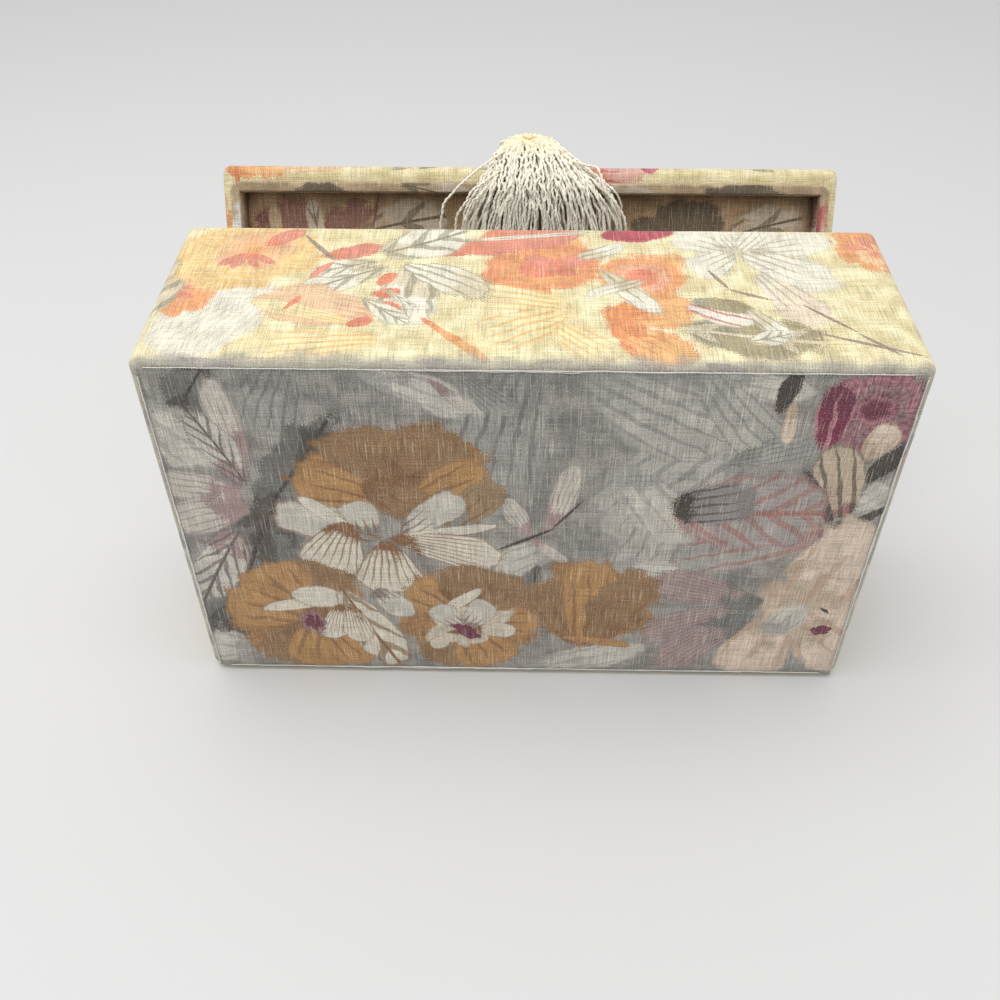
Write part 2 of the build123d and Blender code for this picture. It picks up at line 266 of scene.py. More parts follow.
# Slub weave: uneven threads about half a millimetre apart, thicker here and there, with pale spots
# where the print has missed the thread.
weave, taken, given = new_group("slub_weave", [("Cloth", Vector())], [
    ("Tint", float), ("Missed", float), ("Height", float), ("Wobble", float), ("Speck", float)])


def stretched_noise(cloth, stretch, scale, detail):
    place = put(cloth.tree, "VectorMath", cloth, stretch, operation="MULTIPLY")
    return put(cloth.tree, "TexNoise", place, named={"Scale": scale, "Detail": detail}, noise_dimensions="2D")


warp = stretched_noise(taken["Cloth"], (1.9, 0.075, 1.0), 1.0, 2.0)
weft = stretched_noise(taken["Cloth"], (0.06, 2.1, 1.0), 1.0, 2.0)
sway = stretched_noise(taken["Cloth"], (1.0, 1.0, 1.0), 0.11, 3.0)
grit = stretched_noise(taken["Cloth"], (2.3, 1.5, 1.0), 1.0, 1.0)
axes = put(weave, "SeparateXYZ", taken["Cloth"])
over_under = calc("SINE", axes[0] * 13.5) * calc("SINE", axes[1] * 12.5)
slub = ease(warp, 0.6, 0.74)
tint = scaled(warp - 0.5, 0.95, 1.0)
tint = scaled(weft - 0.5, 0.75, tint)
tint = scaled(grit - 0.5, 0.85, tint)
tint = scaled(over_under, 0.05, tint)
missed = calc("MAXIMUM", slub, ease(grit, 0.62, 0.8))
height = scaled(slub, 0.8, scaled(over_under, 0.22, grit)) + (warp + weft)
wobble = scaled(sway, 2.0, -1.0)
for value, place in zip((tint, missed, height, wobble, grit), given):
    weave.links.new(value.socket, place)

# Inks of the print. The first ones, used on the base panel, are darker than the wrap's: partly a greyer part of
# the print, partly painted shade of the upright base, which gets less light than the wall that faces up.
ochre, brown = (0.50, 0.27, 0.10, 1), (0.27, 0.14, 0.06, 1)
cream, bone, sand = (0.74, 0.68, 0.56, 1), (0.62, 0.58, 0.50, 1), (0.58, 0.46, 0.34, 1)
slate, smoke, grey = (0.20, 0.193, 0.178, 1), (0.30, 0.29, 0.262, 1), (0.42, 0.405, 0.365, 1)
mauve, rose, plum = (0.42, 0.30, 0.28, 1), (0.40, 0.20, 0.17, 1), (0.18, 0.04, 0.07, 1)
bark, pink, wine = (0.075, 0.06, 0.05, 1), (0.56, 0.28, 0.30, 1), (0.22, 0.03, 0.07, 1)
lemon, amber, coral = (0.93, 0.80, 0.42, 1), (0.90, 0.50, 0.16, 1), (0.82, 0.28, 0.16, 1)
peach, olive = (0.90, 0.58, 0.34, 1), (0.36, 0.33, 0.22, 1)
missed_thread = (0.78, 0.73, 0.60, 1)


def lies_on(motif, low, high):
    """Whether a motif comes near a patch of the cloth."""
    if motif[0] == "bloom":
        spots, reach = motif[1:2], 1.25 * max(motif[3:5])
    else:
        spots, reach = motif[1:3], motif[3] * (1.3 + abs(motif[5])) + 2
    return all(min(s[k] for s in spots) - reach < high[k] and max(s[k] for s in spots) + reach > low[k]
               for k in (0, 1))


def print_patch(name, ground, shade, motifs, strength, rolled_edge_shade):
    """The cloth with these motifs printed one over another on its ground, under its weave."""
    material, tree, shader = start_material(name, 0.86, 0.12)
    cloth = put(tree, "UVMap", uv_map="cloth")
    woven = put(tree, "Group", cloth, node_tree=weave)
    wobble, speck = woven["Wobble"], woven["Speck"]
    colour = tinted(ease(wobble, -0.25, 0.3), shade, ground)
    for kind, *facts in motifs:
        if kind == "bloom":
            drawn, values = bloom, [(*facts[0], 0), *facts[1:]]
        else:
            (x, y), (tip_x, tip_y), *rest = facts
            drawn = petal
            values = [(x, y, 0), atan2(tip_y - y, tip_x - x), hypot(tip_x - x, tip_y - y), *rest]
        colour = put(tree, "Group", colour, cloth, wobble, speck, *values, node_tree=drawn)
    # Painted shade: grey over the print along the bottom few millimetres of the cloth, where it rolls round the
    # base edge away from the light.
    if rolled_edge_shade:
        up = scaled(wobble, 5.0, put(tree, "SeparateXYZ", cloth)[1])
        colour = tinted(ease(up, 6.5, -1.0) * 0.8, colour, rolled_edge_shade)
    missed = woven["Missed"] * 0.3
    thready = tinted(missed, colour, missed_thread)
    faded = woven["Tint"] * scaled(wobble, 0.22, strength)
    shaded = put(tree, "VectorMath", thready, operation="SCALE", named={"Scale": faded})
    dress(tree, shader, shaded, 0.55, 0.00025, woven["Height"])
    return material


def print_piece(piece, name, ground, shade, motifs, patch=46.0, strength=0.77, rolled_edge_shade=None):
    """Prints a piece patch by patch, so that each patch works out only the motifs near it."""
    mesh, margin = piece.data, 4
    chart = mesh.uv_layers["cloth"].uv
    slots = {}
    for face in mesh.polygons:
        spots = [chart[i].vector for i in face.loop_indices]
        middle = sum(spots, Vector((0, 0))) / len(spots)
        key = (floor(middle.x / patch), floor(middle.y / patch))
        if key not in slots:
            slots[key] = len(slots)
            low = [k * patch - margin for k in key]
            high = [(k + 1) * patch + margin for k in key]
            near = [m for m in motifs if lies_on(m, low, high)]
            mesh.materials.append(print_patch(f"{name}_{len(slots)}", ground, shade, near, strength, rolled_edge_shade))
        face.material_index = slots[key]


def draw(*rows):
    """Motifs from short rows: a petal's kind, foot, tip and breadth, or a bloom's middle and facts."""
    return [("bloom", row[1:3], *row[3:]) if row[0] == "bloom"
            else ("petal", row[1:3], row[3:5], row[5], *row[0]) for row in rows]


# How each kind of petal and leaf is drawn: pinch, bend, point, ruffle, root, body, vein, split,
# veins, reach, side veins, line
fan = (0.72, 0.0, 2.6, 0.5, brown, cream, brown, 0.22, 26.0, 0.95, 0.0, 0.7)
cup = (0.45, 0.2, 2.4, 0.5, smoke, bone, brown, 0.2, 12.0, 0.5, 0.0, 0.6)
curl = (0.3, 0.5, 1.7, 0.3, cream, cream, brown, 0.2, 0.0, 0.5, 0.0, 0.7)
dark_leaf = (0.25, 0.2, 1.8, 0.6, slate, (0.17, 0.165, 0.15, 1), bark, 0.5, 9.0, 0.7, 1.0, 0.1)
pale_leaf = (0.35, 0.1, 1.7, 0.5, mauve, bone, mauve, 0.35, 16.0, 1.0, 0.0, 0.5)
striped_leaf = (0.2, 0.2, 1.5, 0.4, mauve, bone, (0.16, 0.13, 0.12, 1), 0.3, 30.0, 1.0, 1.0, 0.5)
veil = (0.5, 0.3, 2.2, 0.8, smoke, (0.37, 0.358, 0.325, 1), slate, 0.35, 18.0, 1.0, 0.0, 0.3)
mist = (0.3, 0.2, 2.2, 1.0, grey, bone, grey, 0.3, 9.0, 0.9, 0.0, 0.2)
haze = (0.4, 0.3, 2.2, 0.9, grey, (0.49, 0.468, 0.41, 1), smoke, 0.2, 15.0, 1.0, 0.0, 0.25)
twig = (0.1, 0.6, 1.2, 0.2, bark, bark, bark, 0.5, 0.0, 0.5, 0.0, 0.0)
shell = (0.6, 0.1, 2.2, 0.4, slate, mauve, slate, 0.3, 30.0, 1.1, 0.0, 0.5)
blush = (0.4, 0.2, 2.4, 0.6, sand, (0.74, 0.60, 0.48, 1), (0.55, 0.38, 0.27, 1), 0.4, 8.0, 0.8, 0.0, 0.3)
sunlit = (0.5, 0.1, 2.6, 0.5, ochre, (0.50, 0.275, 0.105, 1), brown, 0.35, 11.0, 0.9, 0.0, 0.35)
umber = (0.5, 0.1, 2.6, 0.5, brown, (0.32, 0.19, 0.09, 1), brown, 0.3, 9.0, 0.8, 0.0, 0.3)

# Groups of flowers and leaves in the wrap's brighter inks, each drawn round its own middle
khaki, crimson, flax = (0.42, 0.35, 0.20, 1), (0.52, 0.09, 0.12, 1), (0.76, 0.66, 0.46, 1)
butter, milk, apricot = (0.91, 0.80, 0.46, 1), (0.90, 0.85, 0.69, 1), (0.86, 0.60, 0.36, 1)
lemon_petal = (0.4, 0.2, 2.2, 0.5, lemon, butter, amber, 0.3, 14.0, 0.9, 0.0, 0.5)
burnt, tangerine = (0.84, 0.34, 0.11, 1), (0.89, 0.50, 0.20, 1)
amber_petal = (0.4, 0.2, 2.2, 0.6, burnt, tangerine, coral, 0.4, 16.0, 0.8, 0.0, 0.6)
coral_petal = (0.3, 0.15, 1.9, 0.5, coral, (0.78, 0.30, 0.20, 1), crimson, 0.3, 0.0, 0.6, 0.0, 0.25)
coral_bit = (0.3, 0.3, 1.7, 0.8, coral, coral, coral, 0.3, 0.0, 0.6, 0.0, 0.0)
ghost_petal = (0.5, 0.2, 2.2, 0.5, milk, milk, (0.76, 0.71, 0.60, 1), 0.1, 34.0, 1.4, 0.0, 0.3)
oat, reed, bark_brown = (0.70, 0.64, 0.48, 1), (0.50, 0.45, 0.33, 1), (0.40, 0.30, 0.22, 1)
milk_petal = (0.55, 0.1, 2.2, 0.6, oat, milk, reed, 0.16, 14.0, 0.75, 0.0, 0.3)
veined_leaf = (0.3, 0.2, 1.8, 0.4, flax, milk, olive, 0.3, 18.0, 1.1, 1.0, 0.6)
shell_leaf = (0.45, -0.3, 2.0, 0.5, milk, flax, olive, 0.6, 12.0, 1.0, 0.0, 0.9)
apricot_petal = (0.35, 0.15, 2.1, 0.6, apricot, apricot, (0.74, 0.40, 0.24, 1), 0.3, 20.0, 0.5, 0.0, 0.5)
khaki_leaf = (0.3, 0.25, 1.9, 0.5, olive, khaki, flax, 0.3, 10.0, 0.6, 1.0, 0.2)
olive_cap = (0.2, -0.5, 1.7, 0.3, olive, khaki, olive, 0.4, 0.0, 0.5, 0.0, 0.4)
wine_leaf = (0.35, 0.15, 1.9, 0.4, milk, milk, crimson, 0.3, 9.0, 1.1, 0.0, 0.3)
flax_fold = (0.3, 0.4, 1.8, 0.5, flax, milk, olive, 0.5, 8.0, 0.9, 0.0, 0.4)
thin_stem = (0.1, 0.5, 1.2, 0.2, bark_brown, bark_brown, olive, 0.5, 0.0, 0.5, 0.0, 0.0)
crimson_petal = coral_petal[:4] + (crimson, crimson) + coral_petal[6:]
blushed_petal = milk_petal[:4] + (milk, (0.90, 0.76, 0.58, 1)) + milk_petal[6:]

orange_flower = draw(
    ("bloom", 0, 0, 0.3, 32, 26, 9, 0.2, peach, amber, amber, lemon, 40.0),
    ("bloom", 4, 4, 0.2, 16, 15, 5, 0.12, peach, peach, (0.92, 0.66, 0.40, 1), (0.88, 0.46, 0.18, 1), 12.0),
    (coral_petal, 2, 2, -9, -8, 2.6), (coral_petal, 2, 2, -3, -10, 2.2), (coral_petal, 2, 2, 6, -9, 2.2),
    (coral_petal, 2, 2, 13, -6, 2.4), (coral_petal, 7, 8, 21, 20, 5),
)
small_flower = draw(
    ("bloom", 0, 0, 0.9, 15, 18, 8, 0.25, peach, amber, amber, coral, 30.0),
    ("bloom", -2, 5, 0.2, 7, 8, 6, 0.2, peach, lemon, lemon, coral, 12.0), (coral_petal, 1, 3, 11, 5, 1.8),
    (coral_petal, 0, 2, 8, -4, 1.6),
)
pale_fans = draw(
    (ghost_petal, 0, 0, -36, -44, 22), (ghost_petal, -4, 2, -24, -8, 9),
)
apricot_sheaf = draw(
    (veined_leaf, 4, 30, -28, 12, 9), (apricot_petal, 4, -4, -40, 10, 15),
    (lemon_petal, 6, -18, -46, -24, 10), (lemon_petal, -4, -8, -42, 6, 5), (flax_fold, 18, 32, 8, -10, 14),
    (coral_bit, 2, 16, 10, 26, 3.5), (coral_bit, 2, 11, 12, 12, 4), (coral_bit, 0, 4, 12, 0, 4),
    (coral_bit, -6, -10, 4, -6, 3), (coral_bit, -30, 0, -24, 10, 1.6), (veined_leaf, 6, 14, 18, 2, 2),
    (veined_leaf, -2, 8, 16, -10, 5),
)
leaf_pair = draw(
    (coral_petal, -20, 4, 2, 10, 6), (veined_leaf, 0, 0, -24, -8, 6.5), (shell_leaf, 12, -2, 46, -20, 11),
    (veined_leaf, 2, 6, 36, 22, 14), (thin_stem, -30, 20, -16, 0, 1.3),
    (coral_petal, -16, 0, -24, -12, 2.2),
)
coral_bands = draw(
    (coral_petal, 0, 0, 58, 15, 9), (coral_petal, 18, 12, 44, 22, 6), (veined_leaf, 2, 8, 64, 17, 1.6),
    (crimson_petal, 68, 14, 98, 20, 9),
)
peony = draw(
    (amber_petal, -28, -4, 14, 22, 16), (amber_petal, 18, -10, 50, 12, 13),
    (amber_petal, 16, -26, 52, -24, 13), (amber_petal, 20, -32, 44, -56, 12),
    ("bloom", -5, 6, 0.4, 24, 18, 6, 0.12, coral, amber, (0.87, 0.42, 0.15, 1), coral, 18.0),
    ("bloom", 32, 0, 0.1, 17, 17, 5, 0.12, coral, peach, amber, coral, 16.0),
    (coral_petal, 6, 2, -10, 16, 5), (coral_petal, -2, 10, 14, 12, 5), (lemon_petal, 4, -20, -34, -10, 10),
    (lemon_petal, 2, -26, -32, -42, 13), (lemon_petal, 0, -34, 18, -54, 9), (flax_fold, 18, 4, 34, -24, 6),
    (flax_fold, 34, -2, 10, -12, 4), (flax_fold, 8, 14, 28, 22, 5), (lemon_petal, -2, -8, 8, -34, 2.2),
    (amber_petal, -50, -28, -24, -56, 2.4),
)
white_flower = draw(
    (milk_petal, 0, 0, -24, 14, 12), (milk_petal, 0, 0, 38, 8, 12), (milk_petal, 0, 0, -6, 20, 8),
    (milk_petal, 0, 0, 16, 20, 9), (milk_petal, -2, -2, -20, -16, 11), (milk_petal, 0, 0, 32, -26, 14),
    (blushed_petal, 6, -18, 22, -52, 12), (thin_stem, -14, -14, -8, -28, 1.0),
    (thin_stem, -8, -28, 8, -36, 1.0),
)
berry_spray = draw(
    (khaki_leaf, -4, -12, 42, -24, 15), (wine_leaf, -2, 4, 21, -8, 9), (olive_cap, -1, 6, 22, 2, 5),
    (flax_fold, 20, 0, 30, -18, 5), (veined_leaf, 16, -20, 32, -16, 5), (thin_stem, 40, 4, 56, -14, 0.9),
    (thin_stem, 56, -14, 68, -28, 1.0), (thin_stem, 36, -12, 78, -29, 0.9),
)


def move_motifs(motifs, to, turned=0.0, size=1.0):
    """A group of motifs laid elsewhere on the cloth."""
    step, growth = Vector(to), Matrix.Rotation(turned, 2) * size
    moved = []
    for kind, spot, second, *facts in motifs:
        spot = tuple(growth @ Vector(spot) + step)
        if kind == "bloom":
            radius, height, *facts = facts
            moved.append((kind, spot, second + turned, radius * size, height * size, *facts))
        else:
            breadth, *facts = facts
            moved.append((kind, spot, tuple(growth @ Vector(second) + step), breadth * size, *facts))
    return moved


def gather(groups):
    return [motif for group in groups for motif in move_motifs(*group)]


wall_groups = [
    (pale_fans, (-96, 50)), (apricot_sheaf, (-60, 32)), (small_flower, (-133, 43)),
    (orange_flower, (-112, 70)), (peony, (10, 56)), (coral_bands, (-38, 73)), (leaf_pair, (-60, 66)),
    (white_flower, (82, 76)), (berry_spray, (60, 34)), (small_flower, (136, 80), 2.6, 1.1),
    (pale_fans, (262, 60), 0.4, 1.1), (peony, (196, 50), 0.3, 0.95), (leaf_pair, (246, 30), 0.9, 1.0),
    (small_flower, (284, 74), 0.5, 1.1), (white_flower, (160, 30), 1.1, 0.8),
    (coral_bands, (236, 66), 0.2, 0.7), (white_flower, (-214, 44), 0.8, 1.1),
    (apricot_sheaf, (-160, 34), -0.5, 0.9), (berry_spray, (-262, 66), -0.4, 1.0),
    (orange_flower, (-290, 26), 1.2, 0.9), (leaf_pair, (-178, 66), 0.3, 0.9),
    (small_flower, (-236, 14), 0.4, 0.9),
]
wall_motifs = gather(wall_groups)
turned_under = [
    (dark_leaf, -294, 8), (shell, -262, 16), (twig, -232, 9), (blush, -205, 20), (dark_leaf, -168, 7),
    (pale_leaf, -120, 18), (blush, -40, 22), (shell, 60, 14), (dark_leaf, 168, 10), (blush, 222, 20),
]
wall_motifs += draw(*((kind, place, 1, place + reach, -4, 3.4) for kind, place, reach in turned_under))
wall_ground, wall_shade = (0.88, 0.80, 0.50, 1), (0.85, 0.73, 0.40, 1)
shaded_pink = (0.3, 0.2, 2.2, 0.8, coral, (0.80, 0.48, 0.40, 1), crimson, 0.3, 14.0, 0.6, 0.0, 0.2)
shaded_crimson = (0.3, 0.3, 1.8, 0.8, crimson, (0.60, 0.16, 0.20, 1), crimson, 0.3, 0.0, 0.5, 0.0, 0.1)
lid_groups = [
    (pale_fans, (-60, 60), 0.2, 1.3), (white_flower, (100, 46), 0.4, 1.2),
    (apricot_sheaf, (-92, -30), 0.6, 1.2), (peony, (-20, 6), -0.3, 1.35), (leaf_pair, (44, -46), 0.4, 1.3),
    (orange_flower, (-104, 52), 0.8, 1.15), (coral_bands, (-30, -66), 0.25, 1.0),
    (berry_spray, (70, -14), 0.8, 1.2), (small_flower, (120, -60), 0.2, 1.4),
    (pale_fans, (150, 20), 0.9, 1.0), (small_flower, (-136, -66), 0.6, 1.3),
    (small_flower, (30, 76), 0.2, 1.2),
]
lid_motifs = gather(lid_groups) + draw(
    (amber_petal, -154, -95, -112, -94, 16), (apricot_petal, -124, -97, -84, -94, 9),
    (khaki_leaf, -66, -100, -56, -97, 3.0), (olive_cap, -52, -99, -44, -95, 2.2),
    (khaki_leaf, -24, -99, -10, -96, 2.6), (shaded_pink, 26, -95, 60, -97, 15),
    (shaded_crimson, 53, -96, 62, -97, 7), (apricot_petal, 68, -98, 78, -96, 2.0),
    (khaki_leaf, 104, -98, 116, -100, 1.6), (apricot_petal, 134, -92, 150, -97, 6),
)
hinge_groups = [
    (white_flower, (-90, 44), 0.4, 1.1), (peony, (60, 50), 0.4, 1.1), (apricot_sheaf, (-20, 30), 0.3, 1.0),
    (orange_flower, (122, 30), 0.5, 1.0), (leaf_pair, (-120, 70), -0.3, 1.0),
    (berry_spray, (20, 84), 0.2, 0.9),
]
hinge_motifs = gather(hinge_groups)


def finish_piece(name, bm, place, thickness=0.0):
    """Turns a mesh made in a piece's own millimetres into a finished piece in its place."""
    mesh = bpy.data.meshes.new(name)
    bm.to_mesh(mesh)
    bm.free()
    mesh.transform(place)
    mesh.shade_smooth()
    piece = bpy.data.objects.new(name, mesh)
    bpy.context.scene.collection.objects.link(piece)
    if thickness:
        thick = piece.modifiers.new("thickness", "SOLIDIFY")
        thick.thickness = thickness * 0.001
        thick.offset = -1.0
    return piece


def write_cloth_map(bm, find):
    """Gives every corner of a mesh its place on the cloth, in millimetres."""
    chart = bm.loops.layers.uv.new("cloth")
    for face in bm.faces:
        for loop in face.loops:
            loop[chart].uv = find(loop.vert)


def round_path(sides):
    """The moves along the walls: 3 sides from the left rear corner, or 1 along the rear wall."""
    across, down, still = 2 * straight_x / wide_steps, 2 * straight_y / deep_steps, (0, 0, 0)

    def corner(x, y):
        return (x, y, 0), still, pi / 2, corner_steps

    if sides == 1:
        return [corner(straight_x, straight_y), (still, (-across, 0, 0), 0, wide_steps),
                corner(-straight_x, straight_y)]
    return [(still, (0, -down, 0), 0, deep_steps), corner(-straight_x, -straight_y),
            (still, (across, 0, 0), 0, wide_steps), corner(straight_x, -straight_y),
            (still, (0, down, 0), 0, deep_steps)]


def sweep(bm, profile, sides):
    """Carries a profile of points (outwards, up) along the walls, and joins what it leaves behind."""
    side = 1 if sides == 1 else -1
    row = [bm.verts.new((side * (straight_x + corner_bend + out), straight_y, up)) for out, up in profile]
    geometry = row + [bm.edges.new(pair) for pair in zip(row, row[1:])]
    for centre, step, angle, steps in round_path(sides):
        swept = bmesh.ops.spin(bm, geom=geometry, cent=centre, axis=(0, 0, 1), dvec=step,
                               angle=angle, steps=steps, use_merge=False, use_duplicate=False)
        geometry = swept["geom_last"]
    bmesh.ops.remove_doubles(bm, verts=bm.verts, dist=0.0005)
    bm.normal_update()
    outermost = max(bm.faces, key=lambda face: face.calc_center_median().xy.length)
    if outermost.normal.xy.dot(outermost.calc_center_median().xy) < 0:
        bmesh.ops.reverse_faces(bm, faces=bm.faces)


def arc(centre, radius, start, end, steps):
    """Points of an arc in the profile's plane, as (outwards, up)."""
    angles = [radians(start + (end - start) * k / steps) for k in range(steps + 1)]
    return [(centre[0] + radius * cos(angle), centre[1] + radius * sin(angle)) for angle in angles]


def outward(v):
    """How far a point lies outside the walls' outer faces, and its place round the front and sides."""
    x, y = v.co.xy
    beyond_x, beyond_y = abs(x) - straight_x, abs(y) - straight_y
    side = 1 if x > 0 else -1
    if beyond_x > 0 and beyond_y > 0:
        angle = atan2(beyond_x, beyond_y)
        place = straight_x + corner_bend * angle
        if y >= 0:
            place = straight_x + corner_arc + 2 * straight_y + corner_bend * (pi / 2 - angle)
        return hypot(beyond_x, beyond_y) - corner_bend, side * place
    if beyond_x > beyond_y:
        return beyond_x - corner_bend, side * (straight_x + corner_arc + y + half_length - corner_bend)
    return beyond_y - corner_bend, x


def ruffle_up(bm, amount, grain):
    """Small hollows and rises of pasted cloth."""
    bm.normal_update()
    for v in bm.verts:
        v.co += v.normal * amount * noise.noise(v.co * grain)


# The wrap itself, swept round the left, front and right walls from its turned-in edge under the base
# to its turned-in edge inside the rim.
foot_z = strip_level + base_bend
case_profile = [(-shown_turn_in, strip_level), *arc((-base_bend, foot_z), base_bend, -90, 0, 8)]
case_profile += [(0, foot_z + (case_height - rim_bend - foot_z) * k / 20) for k in range(1, 20)]
case_profile += arc((-rim_bend, case_height - rim_bend), rim_bend, 0, 90, 3)
inner_face = 2 * cloth_thickness + board_thickness
case_profile += arc((rim_bend - inner_face, case_height - rim_bend), rim_bend, 90, 180, 3)
case_profile += [(-inner_face, case_height - rim_bend - rim_turn_in * k / 4) for k in range(1, 5)]


def map_case_cloth(v):
    out, place = outward(v)
    if v.co.z < base_bend + 1:
        return place, v.co.z + out
    if v.co.z > case_height - 0.2:
        return place, case_height - out
    return place, v.co.z if out > -1 else 2 * case_height + inner_face - v.co.z


bm = bmesh.new()
sweep(bm, case_profile, 3)
write_cloth_map(bm, map_case_cloth)
ruffle_up(bm, 0.09, 0.05)
case_wrap = finish_piece("case_wrap", bm, case_place, cloth_thickness)
# The grey along the wrap's bottom roll is painted shade.
print_piece(case_wrap, "wall_print", wall_ground, wall_shade, wall_motifs, rolled_edge_shade=(0.47, 0.445, 0.40, 1))
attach(case_wrap, "case")
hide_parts("case_wall_wrap")

# Case linings: a printed lining, pasted inside the walls over the turned-in cloth, and on the floor. It is seen
# only in shade, and its inks are painted darker and browner than the cloth: painted shade of the hollow.
lining_ground_shaded, lining_mottle_shaded = (0.50, 0.33, 0.18, 1), (0.40, 0.27, 0.15, 1)
maroon, moss = (0.24, 0.10, 0.08, 1), (0.17, 0.13, 0.08, 1)
straw, dust = (0.54, 0.40, 0.24, 1), (0.60, 0.50, 0.38, 1)
dark_patch = (0.3, 0.3, 2.2, 1.0, moss, moss, maroon, 0.3, 0.0, 0.5, 0.0, 0.2)
maroon_patch = (0.3, 0.3, 2.2, 1.0, maroon, (0.30, 0.15, 0.11, 1), moss, 0.3, 6.0, 0.5, 0.0, 0.2)
straw_leaf = (0.3, 0.2, 2.0, 0.6, straw, dust, moss, 0.3, 12.0, 0.8, 1.0, 0.2)
straw_stroke = (0.4, 0.4, 1.8, 0.6, straw, straw, moss, 0.3, 0.0, 0.5, 0.0, 0.3)
lining_motifs = draw(
    (maroon_patch, -136, -58, -100, -74, 13), (maroon_patch, -104, -56, -74, -76, 9),
    (straw_stroke, -120, -52, -124, -76, 3.5), (straw_leaf, -100, -54, -105, -78, 4.5),
    (straw_leaf, -80, -62, -42, -72, 12), (maroon_patch, -72, -78, -77, -54, 1.0),
    (dark_patch, 50, -62, 96, -68, 15), (maroon_patch, 32, -60, 62, -52, 9),
    (straw_leaf, 92, -60, 130, -72, 10), (dark_patch, 98, -54, 128, -50, 7),
    ("bloom", -60, 10, 0.3, 34, 26, 7, 0.25, maroon, straw, lining_ground_shaded, moss, 16.0),
    (straw_leaf, 20, 40, 70, 60, 16), (maroon_patch, 90, -10, 110, 40, 16),
    ("bloom", 60, 6, 0.7, 30, 26, 8, 0.25, moss, dust, straw, maroon, 20.0),
    (dark_patch, -120, 30, -80, 62, 14), (straw_leaf, -20, -30, 20, -8, 12),
)


def cut_through(bm, axis, place, dist=0.0):
    """Cuts a mesh right through at a place on an axis, and keeps both sides."""
    bmesh.ops.bisect_plane(bm, geom=bm.verts[:] + bm.edges[:] + bm.faces[:], dist=dist,
                           plane_co=[place * a for a in axis], plane_no=axis)


def line_node(name, place, node_name, body, cut_pitch=12):
    """A copy of a lining's own shape, merged, cut finer and charted, ready for its print."""
    bm = bmesh.new()
    bm.from_mesh(nodes[node_name].data)
    bm.transform(place.inverted())
    bmesh.ops.remove_doubles(bm, verts=bm.verts, dist=0.01)
    bmesh.ops.dissolve_limit(bm, angle_limit=0.01, verts=bm.verts, edges=bm.edges)
    for axis, reach in (((1, 0, 0), 150), ((0, 1, 0), 100)):
        for k in range(-reach // cut_pitch, reach // cut_pitch + 1):
            cut_through(bm, axis, cut_pitch * k)
    bm.normal_update()
    chart = bm.loops.layers.uv.new("cloth")
    for face in bm.faces:
        flat_lying = abs(face.normal.z) > 0.5
        for loop in face.loops:
            x, y, z = loop.vert.co
            loop[chart].uv = (x, y) if flat_lying else (x + y, z)
    for v in bm.verts:
        v.co += v.normal * 0.12 * noise.noise(v.co * 0.045)
    spans = [max(v.co[n] for v in bm.verts) - min(v.co[n] for v in bm.verts) for n in range(3)]
    piece = finish_piece(name, bm, place)
    print_piece(piece, name + "_print", lining_ground_shaded, lining_mottle_shaded, lining_motifs, patch=1000.0,
                strength=1.0)
    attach(piece, body)
    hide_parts(node_name)
    flat = (2 * (spans[0] + spans[1]), spans[2]) if "side" in name else spans[:2]
    flat[0] * 0.001
    flat[1] * 0.001


line_node("case_side_lining", case_place, "case_wall_lining", "case")
line_node("case_bottom_lining", case_place, "case_floor_lining", "case")

# Base cloth: a separate panel of the same cloth, pasted over the turned-in strip. Its raw edges are
# not turned in, so they fray, and it sinks a little where the strip under it ends.
panel_inset, panel_thickness, panel_step = 3.5, 0.5, 12.0
panel_width = case_width - 2 * panel_inset
panel_length = case_length - 2 * panel_inset
strip_dip, dip_start, dip_run = 0.28, 3.5, 2.5
corner_droop, corner_reach = 1.1, 9
# The base panel's ground and mottle: partly a greyer ground, partly painted shade of the upright base.
base_ground_grey_and_shaded, base_mottle_grey_and_shaded = (0.35, 0.33, 0.295, 1), (0.28, 0.265, 0.242, 1)
plum_leaf = (0.3, 0.1, 1.9, 0.5, wine, plum, pink, 0.5, 7.0, 0.9, 0.0, 0.2)
barred_bud = (0.3, 0.1, 2.2, 0.3, rose, sand, bark, 0.15, 11.0, 1.1, 0.0, 0.6)
dusky_fold = (0.2, -0.2, 2.6, 0.3, mauve, grey, rose, 0.3, 9.0, 1.1, 0.0, 0.4)
dusky_leaf = (0.25, 0.1, 2.5, 0.3, mauve, (0.42, 0.37, 0.34, 1), rose, 0.3, 30.0, 1.4, 1.0, 0.6)
dusky_cap = (0.2, 0.1, 2.0, 0.5, bark, (0.30, 0.27, 0.26, 1), bark, 0.2, 16.0, 0.9, 0.0, 0.1)
tawny_petal = (0.3, 0.2, 2.2, 0.6, smoke, (0.36, 0.24, 0.13, 1), brown, 0.3, 10.0, 0.8, 0.0, 0.4)
striped_petal = (0.4, 0.2, 2.0, 0.4, cream, cream, brown, 0.2, 18.0, 1.0, 1.0, 0.7)
